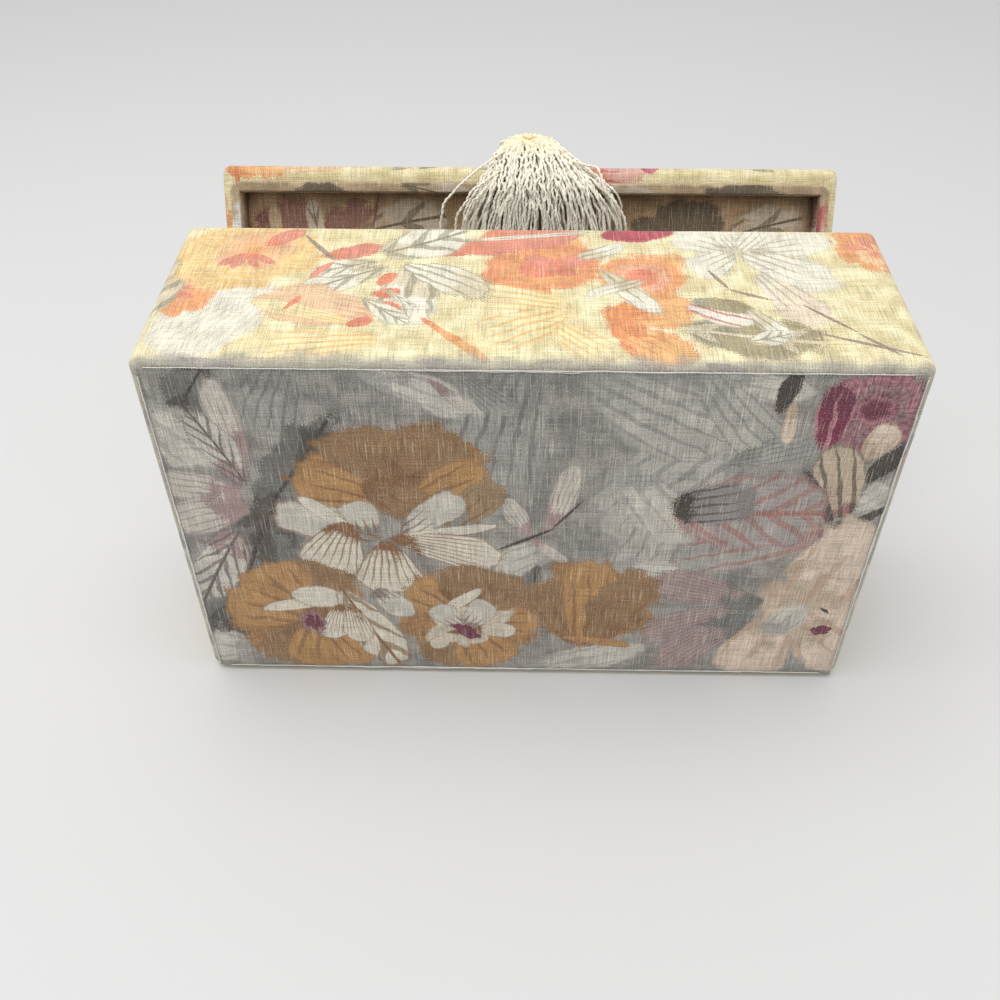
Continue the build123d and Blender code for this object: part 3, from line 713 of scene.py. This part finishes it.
base_motifs = draw(
    (veil, -2, 84, -22, 28, 24), (mist, -60, 84, -18, 62, 8), (veil, -22, 78, -8, 62, 7),
    (pale_leaf, -34, 77, -20, 63, 3), (dark_leaf, -112, 84, -128, 62, 10), (veil, -84, 84, -100, 52, 16),
    (mist, -140, 66, -118, 36, 14), (dark_leaf, -106, 8, -70, 58, 14), (dark_leaf, -96, 22, -128, -66, 24),
    (dark_leaf, -104, 4, -134, -64, 20), (mist, -120, -70, -140, -66, 12),
    (pale_leaf, -107, 34, -112, 78, 7), (striped_leaf, -107, 28, -121, 64, 8),
    (pale_leaf, -108, 22, -142, 30, 9), (pale_leaf, -108, 16, -142, 8, 11),
    (striped_leaf, -113, 4, -138, -38, 12), (haze, 76, 52, 28, 8, 25), (haze, 66, 30, 40, -30, 20),
    (haze, 22, 78, 74, 44, 20), (mist, 60, 80, 98, 72, 7), (haze, 62, 80, 88, 42, 13),
    (veil, 76, 42, 108, 50, 9), (mist, 34, 40, 60, -2, 12), (mist, 36, -14, 64, -22, 8),
    (mist, 12, -4, -14, -16, 9), (mist, 0, -82, 52, -68, 9), (twig, 93, 85, 86, 66, 4),
    (blush, 93, 70, 93, 50, 3), ("bloom", 122, 66, 0.4, 21, 20, 6, 0.3, pink, mauve, pink, plum, 30.0),
    (plum_leaf, 108, 48, 109, 79, 8), (blush, 124, 44, 131, 60, 7), (twig, 112, 2, 140, 20, 4.5),
    (twig, 124, 32, 140, 50, 4.5), (mist, 118, 14, 140, 30, 7), (barred_bud, 121, 14, 113, 50, 11),
    (twig, 119, 8, 105, 38, 3.2), (blush, 100, -26, 140, -60, 24), (blush, 112, -44, 138, 8, 22),
    (blush, 110, -44, 92, -84, 19), (blush, 116, -46, 140, -78, 16), (mist, 104, -58, 118, -38, 9),
    ("bloom", 127, -53, 0.3, 4.5, 3.2, 5, 0.4, plum, wine, wine, plum, 8.0),
    (twig, 128, -42, 124.5, -38.5, 1), (dusky_fold, 116, 6, 60, -14, 12), (dusky_leaf, 57, 16, 115, 14, 22),
    (dusky_cap, 56, 17, 88, 22, 12), (shell, 99, -36, 52, -22, 12), (shell, 98, -38, 50, -58, 13),
    (shell, 97, -42, 58, -78, 13), (pale_leaf, 9, 4, 19, 40, 6), (pale_leaf, 1, 2, -8, 22, 5),
    (pale_leaf, 2, 0, 16, -13, 3), (twig, -13, -7, 12, 6, 0.9), (twig, 10, 6, 21, 20, 0.7),
    (dark_leaf, 2, -38, 5, -15, 3), (twig, -2, -41, 9, -38, 2),
    ("bloom", -52, 36, 0.2, 38, 21, 7, 0.22, brown, ochre, ochre, brown, 34.0),
    (umber, -54, 22, -64, 56, 19), (umber, -46, 22, -30, 55, 20), (sunlit, -56, 20, -88, 31, 14),
    (sunlit, -44, 19, -15, 34, 14), (umber, -62, 30, -42, 15, 12), (tawny_petal, -34, 6, -9, 28, 10),
    (cup, -58, 0, -98, 16, 12), (cup, -62, 2, -66, 20, 9), (cup, -50, 2, -24, 22, 9),
    (curl, -68, 2, -88, 24, 4), (curl, -54, 0, -10, 6, 3), (fan, -70, 8, -82, -20, 18),
    (fan, -54, 0, -10, -12, 13), (fan, -56, -2, -56, -33, 19),
    ("bloom", -95, -48, 0.0, 33, 34, 8, 0.2, brown, ochre, ochre, brown, 44.0),
    (umber, -90, -42, -80, -17, 18), (sunlit, -94, -44, -108, -17, 19), (sunlit, -94, -48, -125, -37, 18),
    (umber, -90, -54, -112, -76, 15), (sunlit, -88, -54, -94, -82, 17), (sunlit, -84, -56, -70, -79, 13),
    ("bloom", -25, -48, 0.5, 30, 32, 7, 0.22, brown, ochre, ochre, brown, 40.0),
    (sunlit, -28, -44, -46, -26, 16), (umber, -25, -42, -18, -17, 20), (umber, -22, -44, 2, -30, 17),
    (sunlit, -20, -50, 6, -52, 12), (umber, -28, -58, -40, -78, 15), (sunlit, -24, -58, -14, -80, 17),
    ("bloom", -24, -53, 0.4, 20, 13, 8, 0.3, sand, bone, cream, sand, 26.0),
    ("bloom", 29, -38, 0.9, 23, 28, 6, 0.2, (0.40, 0.27, 0.14, 1), (0.44, 0.29, 0.13, 1), ochre, brown, 20.0),
    (umber, 30, -64, 50, -18, 15), (umber, 22, -64, 7, -24, 14), (sunlit, 26, -66, 28, -11, 14),
    (umber, 28, -66, 38, -26, 9), (sunlit, 16, -60, 46, -65, 3), (curl, -80, -38, -112, -42, 4),
    (curl, -74, -40, -97, -30, 8), (striped_petal, -76, -32, -58, -80, 13), (fan, -78, -40, -84, -63, 9),
    (fan, -74, -40, -71, -65, 9), (cup, -62, -30, -50, -48, 8),
    ("bloom", -91, -52, 0.2, 6, 8, 5, 0.5, plum, plum, mauve, plum, 12.0), (curl, -38, -46, -17, -31, 3.5),
    (fan, -28, -56, -40, -68, 5), (cup, -27, -54, -38, -40, 7), (cup, -25, -54, -14, -38, 8),
    (fan, -23, -56, -4, -56, 7), ("bloom", -25, -57, 0.9, 3.5, 7, 4, 0.4, plum, plum, wine, plum, 10.0),
)

bm = bmesh.new()
bmesh.ops.create_grid(bm, x_segments=136, y_segments=82, size=0.5,
                      matrix=Matrix.Diagonal((panel_width, panel_length, 1, 1)))
for v in bm.verts:
    edge_x, edge_y = panel_width / 2 - abs(v.co.x), panel_length / 2 - abs(v.co.y)
    drawn_in = 0.35 * noise.noise(Vector((v.co.x, v.co.y, 0)) * 0.35)
    if edge_x < 0.01:
        v.co.x += drawn_in
    if edge_y < 0.01:
        v.co.y += drawn_in
    sunk = min(1, max(0, (min(edge_x, edge_y) - panel_step + dip_start) / dip_run))
    v.co.z = strip_dip * sunk * sunk * (3 - 2 * sunk) + 0.05 * noise.noise(v.co * 0.06)
    corner = hypot(panel_width / 2 - v.co.x, panel_length / 2 - v.co.y)
    if corner < corner_reach:
        v.co.z -= corner_droop * (1 - corner / corner_reach) ** 2
bmesh.ops.reverse_faces(bm, faces=bm.faces)
write_cloth_map(bm, lambda v: (v.co.x, -v.co.y))
base_panel = finish_piece("base_panel", bm, case_place, panel_thickness)
print_piece(base_panel, "base_print", base_ground_grey_and_shaded, base_mottle_grey_and_shaded, base_motifs, strength=0.86)
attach(base_panel, "case")
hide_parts("case_base_cloth")

# Raw edges of the base cloth: short ends of thread stand out all round, and a few long threads have
# come loose and lie along the edges.


def smooth_way(points, share):
    """A point on a smooth line through evenly spaced points."""
    reach = share * (len(points) - 1)
    k = min(int(reach), len(points) - 2)
    t = reach - k
    near = [points[max(0, min(len(points) - 1, k + n))] for n in (-1, 0, 1, 2)]
    return [0.5 * (2 * b + (c - a) * t + (2 * a - 5 * b + 4 * c - d) * t * t
                   + (3 * b - a - 3 * c + d) * t ** 3) for a, b, c, d in zip(*near)]


def start_yarns():
    """An empty mesh with the chart that yarn materials read."""
    bm = bmesh.new()
    return bm, bm.loops.layers.uv.new("yarn")


def twist_yarn(bm, chart, way, number, radius, lay_length=5.6, sides=6, lobe=0.26):
    """A two-ply yarn along a way of points, with its number and length kept on its chart."""
    spots = [Vector(p) for p in way]
    rows, lengths, run, side = [], [], 0.0, Vector((0.3, 1, 0.2))
    for k, spot in enumerate(spots):
        ahead = (spots[min(k + 1, len(spots) - 1)] - spots[max(k - 1, 0)]).normalized()
        run += (spot - spots[k - 1]).length if k else 0.0
        side = (side - ahead * side.dot(ahead)).normalized()
        other = ahead.cross(side)
        girth = radius[k] if isinstance(radius, list) else radius
        row = []
        for n in range(sides):
            angle = 2 * pi * n / sides
            grown = girth * (1 - lobe + lobe * cos(2 * (angle - 2 * pi * run / lay_length)))
            row.append(bm.verts.new(spot + (side * cos(angle) + other * sin(angle)) * grown))
        rows.append(row)
        lengths.append(run)
    for k in range(len(rows) - 1):
        for n in range(sides):
            after = (n + 1) % sides
            face = bm.faces.new((rows[k][n], rows[k][after], rows[k + 1][after], rows[k + 1][n]))
            turns = (n / sides, (n + 1) / sides, (n + 1) / sides, n / sides)
            reached = (lengths[k], lengths[k], lengths[k + 1], lengths[k + 1])
            for loop, turned, length in zip(face.loops, turns, reached):
                loop[chart].uv = (number + 0.02 + 0.96 * turned, length)
    for row, flip in ((rows[0], True), (rows[-1], False)):
        face = bm.faces.new(row[::-1] if flip else row)
        for loop in face.loops:
            loop[chart].uv = (number + 0.5, lengths[0] if flip else lengths[-1])


def yarn_material(name, near, far, dim_tone_and_ply_shade, blush_end, ply_pitch):
    """Dyed yarn: fine slanting fibres, painted shade in the groove between the plies and a slow drift of tint."""
    material, tree, shader = start_material(name, 0.8, 0.25)
    chart = put(tree, "SeparateXYZ", put(tree, "UVMap", uv_map="yarn"))
    turned = calc("FRACT", chart[0])
    number = calc("FLOOR", chart[0])
    own = put(tree, "TexWhiteNoise", noise_dimensions="1D", named={"W": number})["Value"]
    along = chart[1] + own * 3.0
    tint = tinted(ease(along, 2.0, blush_end), near, far)
    tint = tinted(own * 0.22, tint, dim_tone_and_ply_shade)
    slant = turned * (2 * pi) + chart[1] * (-2 * pi / ply_pitch)
    plies = calc("ABSOLUTE", calc("SINE", slant))
    fibre_slant = turned * (24 * pi) + chart[1] * 9.0
    fibres = calc("SINE", fibre_slant)
    # Painted shade: the yarn darkens towards its dim tone in the groove between the plies.
    tint = tinted((1.0 - ease(plies, 0.0, 0.55)) * 0.45, tint, dim_tone_and_ply_shade)
    height = plies * 0.7 + fibres * 0.16
    dress(tree, shader, tint, 0.6, 0.0004, height)
    return material


random.seed(5)
thread_step = 1.6
edges = [((-1, -1), (1, -1)), ((1, -1), (1, 1)), ((1, 1), (-1, 1)), ((-1, 1), (-1, -1))]
bm, chart = start_yarns()
for number, (start, end) in enumerate(edges):
    start, end = (Vector((x * panel_width / 2, y * panel_length / 2, 0)) for x, y in (start, end))
    along = (end - start).normalized()
    out = Vector((along.y, -along.x, 0))
    reach, run = (end - start).length, 1.0
    while run < reach - 1:
        foot = start + along * run + Vector((0, 0, 0.1))
        long_end = random.uniform(0.2, 0.75) * (2.2 if random.random() < 0.06 else 1.0)
        aside = random.uniform(-0.5, 0.5)
        way = [foot - out * 0.4 + Vector((0, 0, -0.25)), foot + out * long_end * 0.5 + along * aside * 0.3,
               foot + out * long_end + along * aside + Vector((0, 0, random.uniform(-0.3, 0.2)))]
        twist_yarn(bm, chart, way, number * 300 + run // 1, random.uniform(0.07, 0.12), sides=3, lobe=0.0)
        run += random.uniform(0.6, 1.5)
    for thread in range(5):
        first = random.uniform(0, 0.5) if thread else 0.01
        last = first + (random.uniform(0.12, 0.45) if thread else 0.98)
        shift, drift = random.uniform(-0.1, 0.9), random.uniform(0, 99)
        way = []
        for k in range(int((last - first) * reach / thread_step)):
            run = first * reach + thread_step * k
            slack = (0.3 if thread == 0 else 0.7) * noise.noise(Vector((run * 0.09, drift, 0)))
            slack += 0.12 * noise.noise(Vector((run * 0.6, drift, 7)))
            level = -0.2 + 0.1 * noise.noise(Vector((run * 0.2, drift, 3)))
            way.append(start + along * run + out * (shift * 0.6 - 0.2 + slack) + Vector((0, 0, level)))
        twist_yarn(bm, chart, way, 2000 + thread, random.uniform(0.17, 0.24), lay_length=2.0, sides=4,
                   lobe=0.1)
fray = finish_piece("base_fray", bm, case_place)
loose_thread = yarn_material("loose_thread", (0.95, 0.93, 0.87, 1), (0.97, 0.95, 0.90, 1),
                             (0.80, 0.76, 0.68, 1), 30.0, 2.0)
fray.data.materials.append(loose_thread)
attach(fray, "case")
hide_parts("case_base_cloth")

# Lid tray wrap: a strip of the same cloth round the lid's low front and side walls, over their rim
# and 7 mm down inside. The tray drops over the case with the two rims meeting.
hinge = next(j for j in frame["joints"] if j["name"] == "lid_hinge")
open_angle = -radians(hinge["range_deg"][0])
closing_gap, tray_depth, lid_turn_in, tray_chart_up = 0.3, 12.0, 7.0, 130
pin, rim_rise = Matrix.Translation(hinge["pos_m"]), Vector((0, 0, case_height + closing_gap))
opened = pin @ Matrix.Rotation(open_angle, 4, Vector((-1, 0, 0))) @ pin.inverted()
lid_place = opened @ case_place @ Matrix.Translation(rim_rise)
lid_profile = [(0, tray_depth - (tray_depth - rim_bend) * k / 4) for k in range(4)]
lid_profile += arc((-rim_bend, rim_bend), rim_bend, 0, -90, 3)
lid_profile += arc((rim_bend - inner_face, rim_bend), rim_bend, -90, -180, 3)
lid_profile += [(-inner_face, rim_bend + lid_turn_in * k / 3) for k in range(1, 4)]


def map_lid_cloth(v):
    out, place = outward(v)
    if out > -rim_bend:
        return place, tray_chart_up - v.co.z
    return place, tray_chart_up - out if v.co.z < 0.2 else tray_chart_up + inner_face + v.co.z


dusty_edge = (0.1, 0.1, 2.4, 0.8, dust, (0.86, 0.83, 0.76, 1), straw, 0.2, 9.0, 0.6, 0.0, 0.2)
apricot_edge = (0.1, 0.1, 2.4, 0.8, apricot, (0.70, 0.46, 0.38, 1), crimson, 0.2, 12.0, 0.6, 1.0, 0.2)
tray_motifs = draw(
    (dusty_edge, -250, 136, -146, 134, 24), (apricot_edge, 146, 134, 250, 136, 24),
    (dark_patch, -110, 134, -78, 140, 10), (dark_patch, 84, 134, 122, 138, 9),
    (straw_leaf, 20, 130, 74, 142, 8), (straw_leaf, -60, 130, -20, 140, 8),
)
bm = bmesh.new()
sweep(bm, lid_profile, 3)
write_cloth_map(bm, map_lid_cloth)
ruffle_up(bm, 0.1, 0.08)
tray_wrap = finish_piece("lid_tray_wrap", bm, lid_place, cloth_thickness)
# The tray wrap's straw-brown ground, mottle and dark patches are painted shade under the lid's overhang; its paler
# side ends keep the cloth's lighter colour.
print_piece(tray_wrap, "tray_print", straw, (0.46, 0.33, 0.19, 1), tray_motifs, patch=200.0)
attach(tray_wrap, "lid")
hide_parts("lid_wall_wrap")
line_node("lid_side_lining", lid_place, "lid_wall_lining", "lid")
line_node("lid_bottom_lining", lid_place, "lid_floor_lining", "lid")

# Padded lid: printed cloth drawn over a sponge sheet and a board, rolled round the board's edges and
# pasted down below. The sponge swells towards the middle.
overhang, slab_thickness, slab_bend, slab_roll = 6.8, 8.0, 4.2, 3.9
crown_start, crown_run, crown_height, under_turn_in = 5.0, 45.0, 1.4, 16.0
slab_half_width, slab_half_length = half_width + overhang, half_length + overhang / 2
slab_middle = Vector((0, -overhang / 2, tray_depth + slab_thickness / 2))
bm = bmesh.new()
bmesh.ops.create_cube(bm, size=1.0, matrix=Matrix.Translation(slab_middle) @ Matrix.Diagonal(
    (2 * slab_half_width, 2 * slab_half_length, slab_thickness, 1)))
for fits, offset in ((lambda rise: rise > 1, slab_bend), (lambda rise: rise < 0.01, slab_roll)):
    edges = [e for e in bm.edges if fits(abs(e.verts[0].co.z - e.verts[1].co.z))]
    bmesh.ops.bevel(bm, geom=edges, offset=offset, affect="EDGES", segments=7, profile=0.5, material=-1)
for axis, half, middle in (((1, 0, 0), slab_half_width, 0), ((0, 1, 0), slab_half_length, -overhang / 2)):
    cuts = [crown_start, 9, 14, 20, 27, 36, 50, 64, 78, half]
    cuts += [overhang + under_turn_in if axis[0] else under_turn_in + overhang]
    for inset in cuts:
        for side in (-1, 1):
            cut_through(bm, axis, middle + side * (half - inset), dist=0.01)
for v in bm.verts:
    inset = min(slab_half_width - abs(v.co.x), slab_half_length - abs(v.co.y + overhang / 2)) - crown_start
    if v.co.z > slab_middle.z and inset > 0:
        share = min(1.0, inset / crown_run)
        v.co.z += crown_height * (1 - (1 - share) ** 2.2) + 0.12 * noise.noise(v.co * 0.04)


def map_lid_top(v):
    x, y, z = v.co
    edges = {"side": slab_half_width - abs(x), "front": y + half_length + overhang, "rear": half_length - y}
    nearest = min(edges, key=edges.get)
    drop = max(0.0, tray_depth + slab_thickness - z)
    if z < slab_middle.z:
        drop += 2 * edges[nearest]
    if nearest == "side":
        return (x + (drop if x > 0 else -drop), y)
    return (x, y - drop if nearest == "front" else y + drop)


def in_window(face):
    x, y, _ = face.calc_center_median()
    return face.normal.z < -0.9 and max(abs(x) - half_width, abs(y) - half_length) < -under_turn_in


bmesh.ops.delete(bm, geom=[f for f in bm.faces if in_window(f)], context="FACES")
write_cloth_map(bm, map_lid_top)
lid_cloth = finish_piece("lid_cloth", bm, lid_place, cloth_thickness)
print_piece(lid_cloth, "lid_print", wall_ground, wall_shade, lid_motifs)
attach(lid_cloth, "lid")
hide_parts("lid_top_cloth")
sponge, tree, shader = start_material("sponge", 0.95)
spot = put(tree, "TexCoord")["Object"]
cells = put(tree, "TexVoronoi", spot, named={"Scale": 1400.0})["Distance"]
# Painted shade: darker where the bump sinks into the pores.
pore_hollow_shade = tinted(ease(cells, 0.2, 0.6), (0.55, 0.5, 0.38, 1), (0.85, 0.8, 0.66, 1))
dress(tree, shader, pore_hollow_shade, 0.5, 0.0003, cells)
give(["lid_pad"], sponge)

# Hinge cloth: one piece of the cloth covers both rear walls and is the hinge between them. It is turned over each
# rim and down inside, and it is built bent along the line where the rims meet, as the open lid holds it.
bm = bmesh.new()
to_lid = case_place.inverted() @ lid_place
sweep(bm, case_profile, 1)
write_cloth_map(bm, lambda v: (v.co.x, v.co.z))
lid_half = bmesh.new()
sweep(lid_half, lid_profile, 1)
write_cloth_map(lid_half, lambda v: (v.co.x, case_height + v.co.z))
lid_half.transform(to_lid)
band, rows = bmesh.new(), []
for rise in (-2.6, -1.2, 0.0, 1.2, 2.6):
    out, level = half_length + (0.05 if rise else 0.0), case_height + closing_gap / 2 + rise
    across = [(2 * k / wide_steps - 1) * straight_x for k in range(wide_steps + 1)]
    rows.append([band.verts.new((x, out, level)) for x in across])
for lower, upper in zip(rows, rows[1:]):
    for k in range(wide_steps):
        band.faces.new((lower[k + 1], lower[k], upper[k], upper[k + 1]))
write_cloth_map(band, lambda v: (v.co.x, v.co.z))
for v in rows[3] + rows[4]:
    v.co = to_lid @ (v.co - rim_rise)
for part in (lid_half, band):
    joined = bpy.data.meshes.new("joined")
    part.to_mesh(joined)
    part.free()
    bm.from_mesh(joined)
    bpy.data.meshes.remove(joined)
hinge_cloth = finish_piece("hinge_cloth", bm, case_place, cloth_thickness)
print_piece(hinge_cloth, "hinge_print", wall_ground, wall_shade, hinge_motifs)
fold, fold_reach, corner_turns = Vector(hinge["pos_m"]), 0.0002, 8
case_rise, lid_rise = ((place.to_3x3() @ Vector((0, 0, 1))).normalized() for place in (case_place, lid_place))
along_fold = (case_rise + lid_rise).normalized()
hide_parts("hinge_case_leaf", "hinge_lid_leaf")
fold - along_fold * fold_reach
fold + along_fold * fold_reach
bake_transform(hinge_cloth)

# Tassel cord: a short loop of twisted yarn, sewn to the middle of the lid's front edge. It carries
# the tassel, which can swing on it.
swing = next(j for j in frame["joints"] if j["name"] == "tassel_swing")
seat_gap, cord_radius, loop_half_width, cord_rise = 0.3, 0.8, 3.0, 11.0
head_rise, head_lean, binding_thickness = 17.0, 4.0, 2.4
seat = Vector(swing["pos_m"]) - Vector((0, 0, (seat_gap + cord_radius) * 0.001))
stitch_place = Matrix.Translation(seat) @ to_metres
ivory_yarn = yarn_material("ivory_yarn", (0.97, 0.89, 0.62, 1), (0.99, 0.96, 0.84, 1),
                           (0.90, 0.77, 0.54, 1), 26.0, 4.6)


def finish_yarn(name, bm, place, material, cad_node):
    piece = finish_piece(name, bm, place)
    piece.data.materials.append(material)
    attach(piece, "tassel")
    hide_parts(cad_node)


bm, chart = start_yarns()
loop_radius = loop_half_width - cord_radius
loop_middle, loop_reach = seat_gap + cord_rise / 2, cord_rise / 2 - cord_radius - loop_radius
ring, ring_steps = [], 48
for k in range(ring_steps + 1):
    angle = 2 * pi * k / ring_steps
    ring.append((loop_radius * cos(angle), 0.12 * sin(3 * angle),
                 loop_middle + loop_radius * sin(angle) + loop_reach * max(-1, min(1, 2.2 * sin(angle)))))
twist_yarn(bm, chart, ring, 500, cord_radius * 0.98, lay_length=3.2, sides=8, lobe=0.14)
bmesh.ops.remove_doubles(bm, verts=bm.verts, dist=0.02)
finish_yarn("tassel_loop", bm, stitch_place, ivory_yarn, "tassel_cord")

# Binding: nine turns of yellow thread, wound in layers round the middle of the yarns, where they
# fold over. It holds the mop together.
bm, chart = start_yarns()
turns, turn_steps, thread_radius, winding_radius = 9, 20, 0.4, 2.3
way = []
for k in range(turns * turn_steps + 1):
    angle = 2 * pi * k / turn_steps
    layer = abs((k / turn_steps) % 3 - 1.5) * 0.62
    reach = winding_radius + 0.75 * (1 - layer)
    rise = head_rise - binding_thickness + 0.4 + 1.5 * k / (turns * turn_steps) + 0.1 * sin(5 * angle)
    way.append((reach * cos(angle), reach * sin(angle) - head_lean, rise))
twist_yarn(bm, chart, way, 600, thread_radius, lay_length=1.6, sides=6, lobe=0.12)
gold_thread = yarn_material("gold_thread", (0.80, 0.48, 0.12, 1), (0.86, 0.60, 0.20, 1),
                            (0.45, 0.22, 0.05, 1), 100.0, 1.6)
finish_yarn("tassel_winding", bm, stitch_place, gold_thread, "tassel_binding")

# Skirt: soft two-ply yarns that leave the binding in all directions, fall over the tray's rim and
# lie down inside the tray. A few stray yarns stand off on the left and one on the right.
random.seed(11)
front_way = [(-18.0, 6.4), (-19.2, 4.4), (-15.2, -0.4), (-8.0, -6.2), (3.0, -11.0), (20.0, -9.2),
             (40.0, -5.4), (60.0, -1.2), (77.0, 2.8)]
back_way = [(-18.6, 7.6), (-22.0, 8.7), (-17.6, 11.4), (-8.4, 10.8), (-1.6, -1.9), (6.6, -2.0),
            (30.0, 7.6), (55.0, 9.2), (77.0, 9.6)]
right_widths, left_widths, side_drops = ([(value,) for value in values] for values in (
    (1.5, 11.4, 18.6, 26.0, 34.5, 43.0, 45.0, 45.0, 45.0),
    (1.5, 11.0, 15.6, 19.0, 22.5, 29.0, 32.0, 33.0, 33.0),
    (0.0, 3.4, 3.4, 2.0, 0.0, 0.0, 0.0, 0.0, 0.0)))
yarn_rows = ((0.97, 46), (0.78, 38), (0.48, 30), (0.12, 24))
bm, chart = start_yarns()
number = 0
for depth, count in yarn_rows:
    for k in range(count):
        lateral = -1 + 2 * (k + 0.5 + random.uniform(-0.35, 0.35)) / count
        lateral *= 0.86 + 0.14 * lateral * lateral
        own_depth = min(1.0, max(0.0, depth + random.uniform(-0.1, 0.1)))
        own_depth *= 1 - 0.35 * lateral ** 4
        fall = random.uniform(0.93, 1.0)
        way, radii = [], []
        share, lay = 0.0, random.uniform(0.7, 1.3)
        while share < 1:
            front_u, front_w = smooth_way(front_way, share * fall)
            back_u, back_w = smooth_way(back_way, share * fall)
            width = smooth_way(left_widths if lateral < 0 else right_widths, share * fall)[0]
            side_drop = smooth_way(side_drops, share * fall)[0] * lateral * lateral
            loose = min(1.0, share * 5)
            run = share * 100
            kink = Vector((number * 3.7, run * 0.26, 0))
            sway = Vector((number * 5.1 + 40, run * 0.06, 3))
            x = lateral * width + loose * (1.2 * noise.noise(kink) + 3.0 * noise.noise(sway))
            u = back_u + (front_u - back_u) * own_depth + side_drop
            w = back_w + (front_w - back_w) * own_depth + loose * 1.5 * noise.noise(kink + Vector((0, 0, 9)))
            way.append((x, u - half_length, w))
            radii.append(0.82 * (0.6 + 0.4 * min(1.0, share * 9)) * (1 + 0.1 * noise.noise(kink * 2)))
            share += 0.0072 if share < 0.6 else 0.022
        twist_yarn(bm, chart, way, number, radii, lay_length=5.0 * lay, lobe=0.3)
        number += 1
strays = [
    [(-9, -15.2, 4.5), (-15, -12, -3.3), (-21, -8, -7.2), (-31, 0, -11), (-38.4, 8.3, -11.5),
     (-40, 14.3, -10.5), (-40.6, 20, -9.4), (-41, 36, -5.6), (-41, 54, -2)],
    [(-8, -8, -1.0), (-15, -4.5, -6.5), (-21.5, 0, -11.2), (-26.5, 3.6, -12), (-28.4, 7.6, -12),
     (-32.5, 13, -11.3), (-33.6, 19, -10.2), (-34, 36, -6.4), (-34, 54, -3)],
    [(-10, -5, -3), (-16, -2, -7.5), (-22.5, 5, -12), (-26, 8.3, -12), (-28, 13, -11.5),
     (-30.3, 19, -10.4), (-31, 36, -6.6), (-31, 54, -3)],
    [(17, -11, 1), (25, -8.5, -5.4), (31, -7, -7.5), (33, -2.2, -10), (35.5, 3.5, -11.5), (41, 9.8, -11.5),
     (44.7, 18.5, -10), (45.5, 36, -5.6), (45, 54, -2)],
]
stray_steps = 120
for stray in strays:
    way = []
    for k in range(stray_steps):
        x, u, w = smooth_way(stray, k / stray_steps)
        kink = Vector((number * 3.7, k * 0.12, 0))
        w += 0.5 * noise.noise(kink + Vector((0, 5, 0)))
        way.append((x + 0.5 * noise.noise(kink), u - half_length, w))
    twist_yarn(bm, chart, way, number, 0.76, lobe=0.3)
    number += 1
finish_yarn("tassel_yarns", bm, lid_place, ivory_yarn, "tassel_skirt")

# The setting: a plain pale floor, a soft even sky, one broad lamp above the box and a little to its front and
# left, and the camera where the photograph was taken from.
focal_share, pitch, yaw, roll = 1.0583, radians(39.04), radians(1.15), radians(0.06)
lens_place = Vector((-0.0041, -0.4030, 0.3616))
bm = bmesh.new()
bmesh.ops.create_grid(bm, x_segments=1, y_segments=1, size=6.0)
floor_piece = finish_piece("floor", bm, Matrix.Identity(4))
pale_floor, tree, shader = start_material("pale_floor", 0.9)
shader.inputs["Base Color"].default_value = (0.62, 0.62, 0.62, 1)
floor_piece.data.materials.append(pale_floor)

scene = bpy.context.scene
scene.view_settings.view_transform = "Standard"
sky = bpy.data.worlds.new("soft_sky")
sky.use_nodes = True
background = sky.node_tree.nodes["Background"].inputs
background["Color"].default_value = (1, 1, 1, 1)
background["Strength"].default_value = 0.80
scene.world = sky
lamp = bpy.data.lights.new("broad_lamp", "AREA")
lamp.size = 1.2
lamp.energy = 13.0
lamp_holder = bpy.data.objects.new("broad_lamp", lamp)
lamp_holder.location = (-0.22, -0.22, 1.38)
aim = Vector((0, 0, 0.08)) - lamp_holder.location
lamp_holder.rotation_euler = aim.to_track_quat("-Z", "Y").to_euler()
scene.collection.objects.link(lamp_holder)

turn = Matrix.Rotation(yaw, 3, "Z")
ahead = turn @ Vector((0, cos(pitch), -sin(pitch)))
level = turn @ Vector((1, 0, 0))
below = turn @ Vector((0, -sin(pitch), -cos(pitch)))
to_right = cos(roll) * level + sin(roll) * below
to_bottom = cos(roll) * below - sin(roll) * level
camera_data = bpy.data.cameras.new("camera")
camera_data.sensor_width = 36.0
camera_data.lens = 36.0 * focal_share
camera_data.clip_start = 0.01
camera = bpy.data.objects.new("camera", camera_data)
camera_turn = Matrix((to_right, -to_bottom, -ahead)).transposed().to_4x4()
camera.matrix_world = Matrix.Translation(lens_place) @ camera_turn
scene.collection.objects.link(camera)
scene.camera = camera
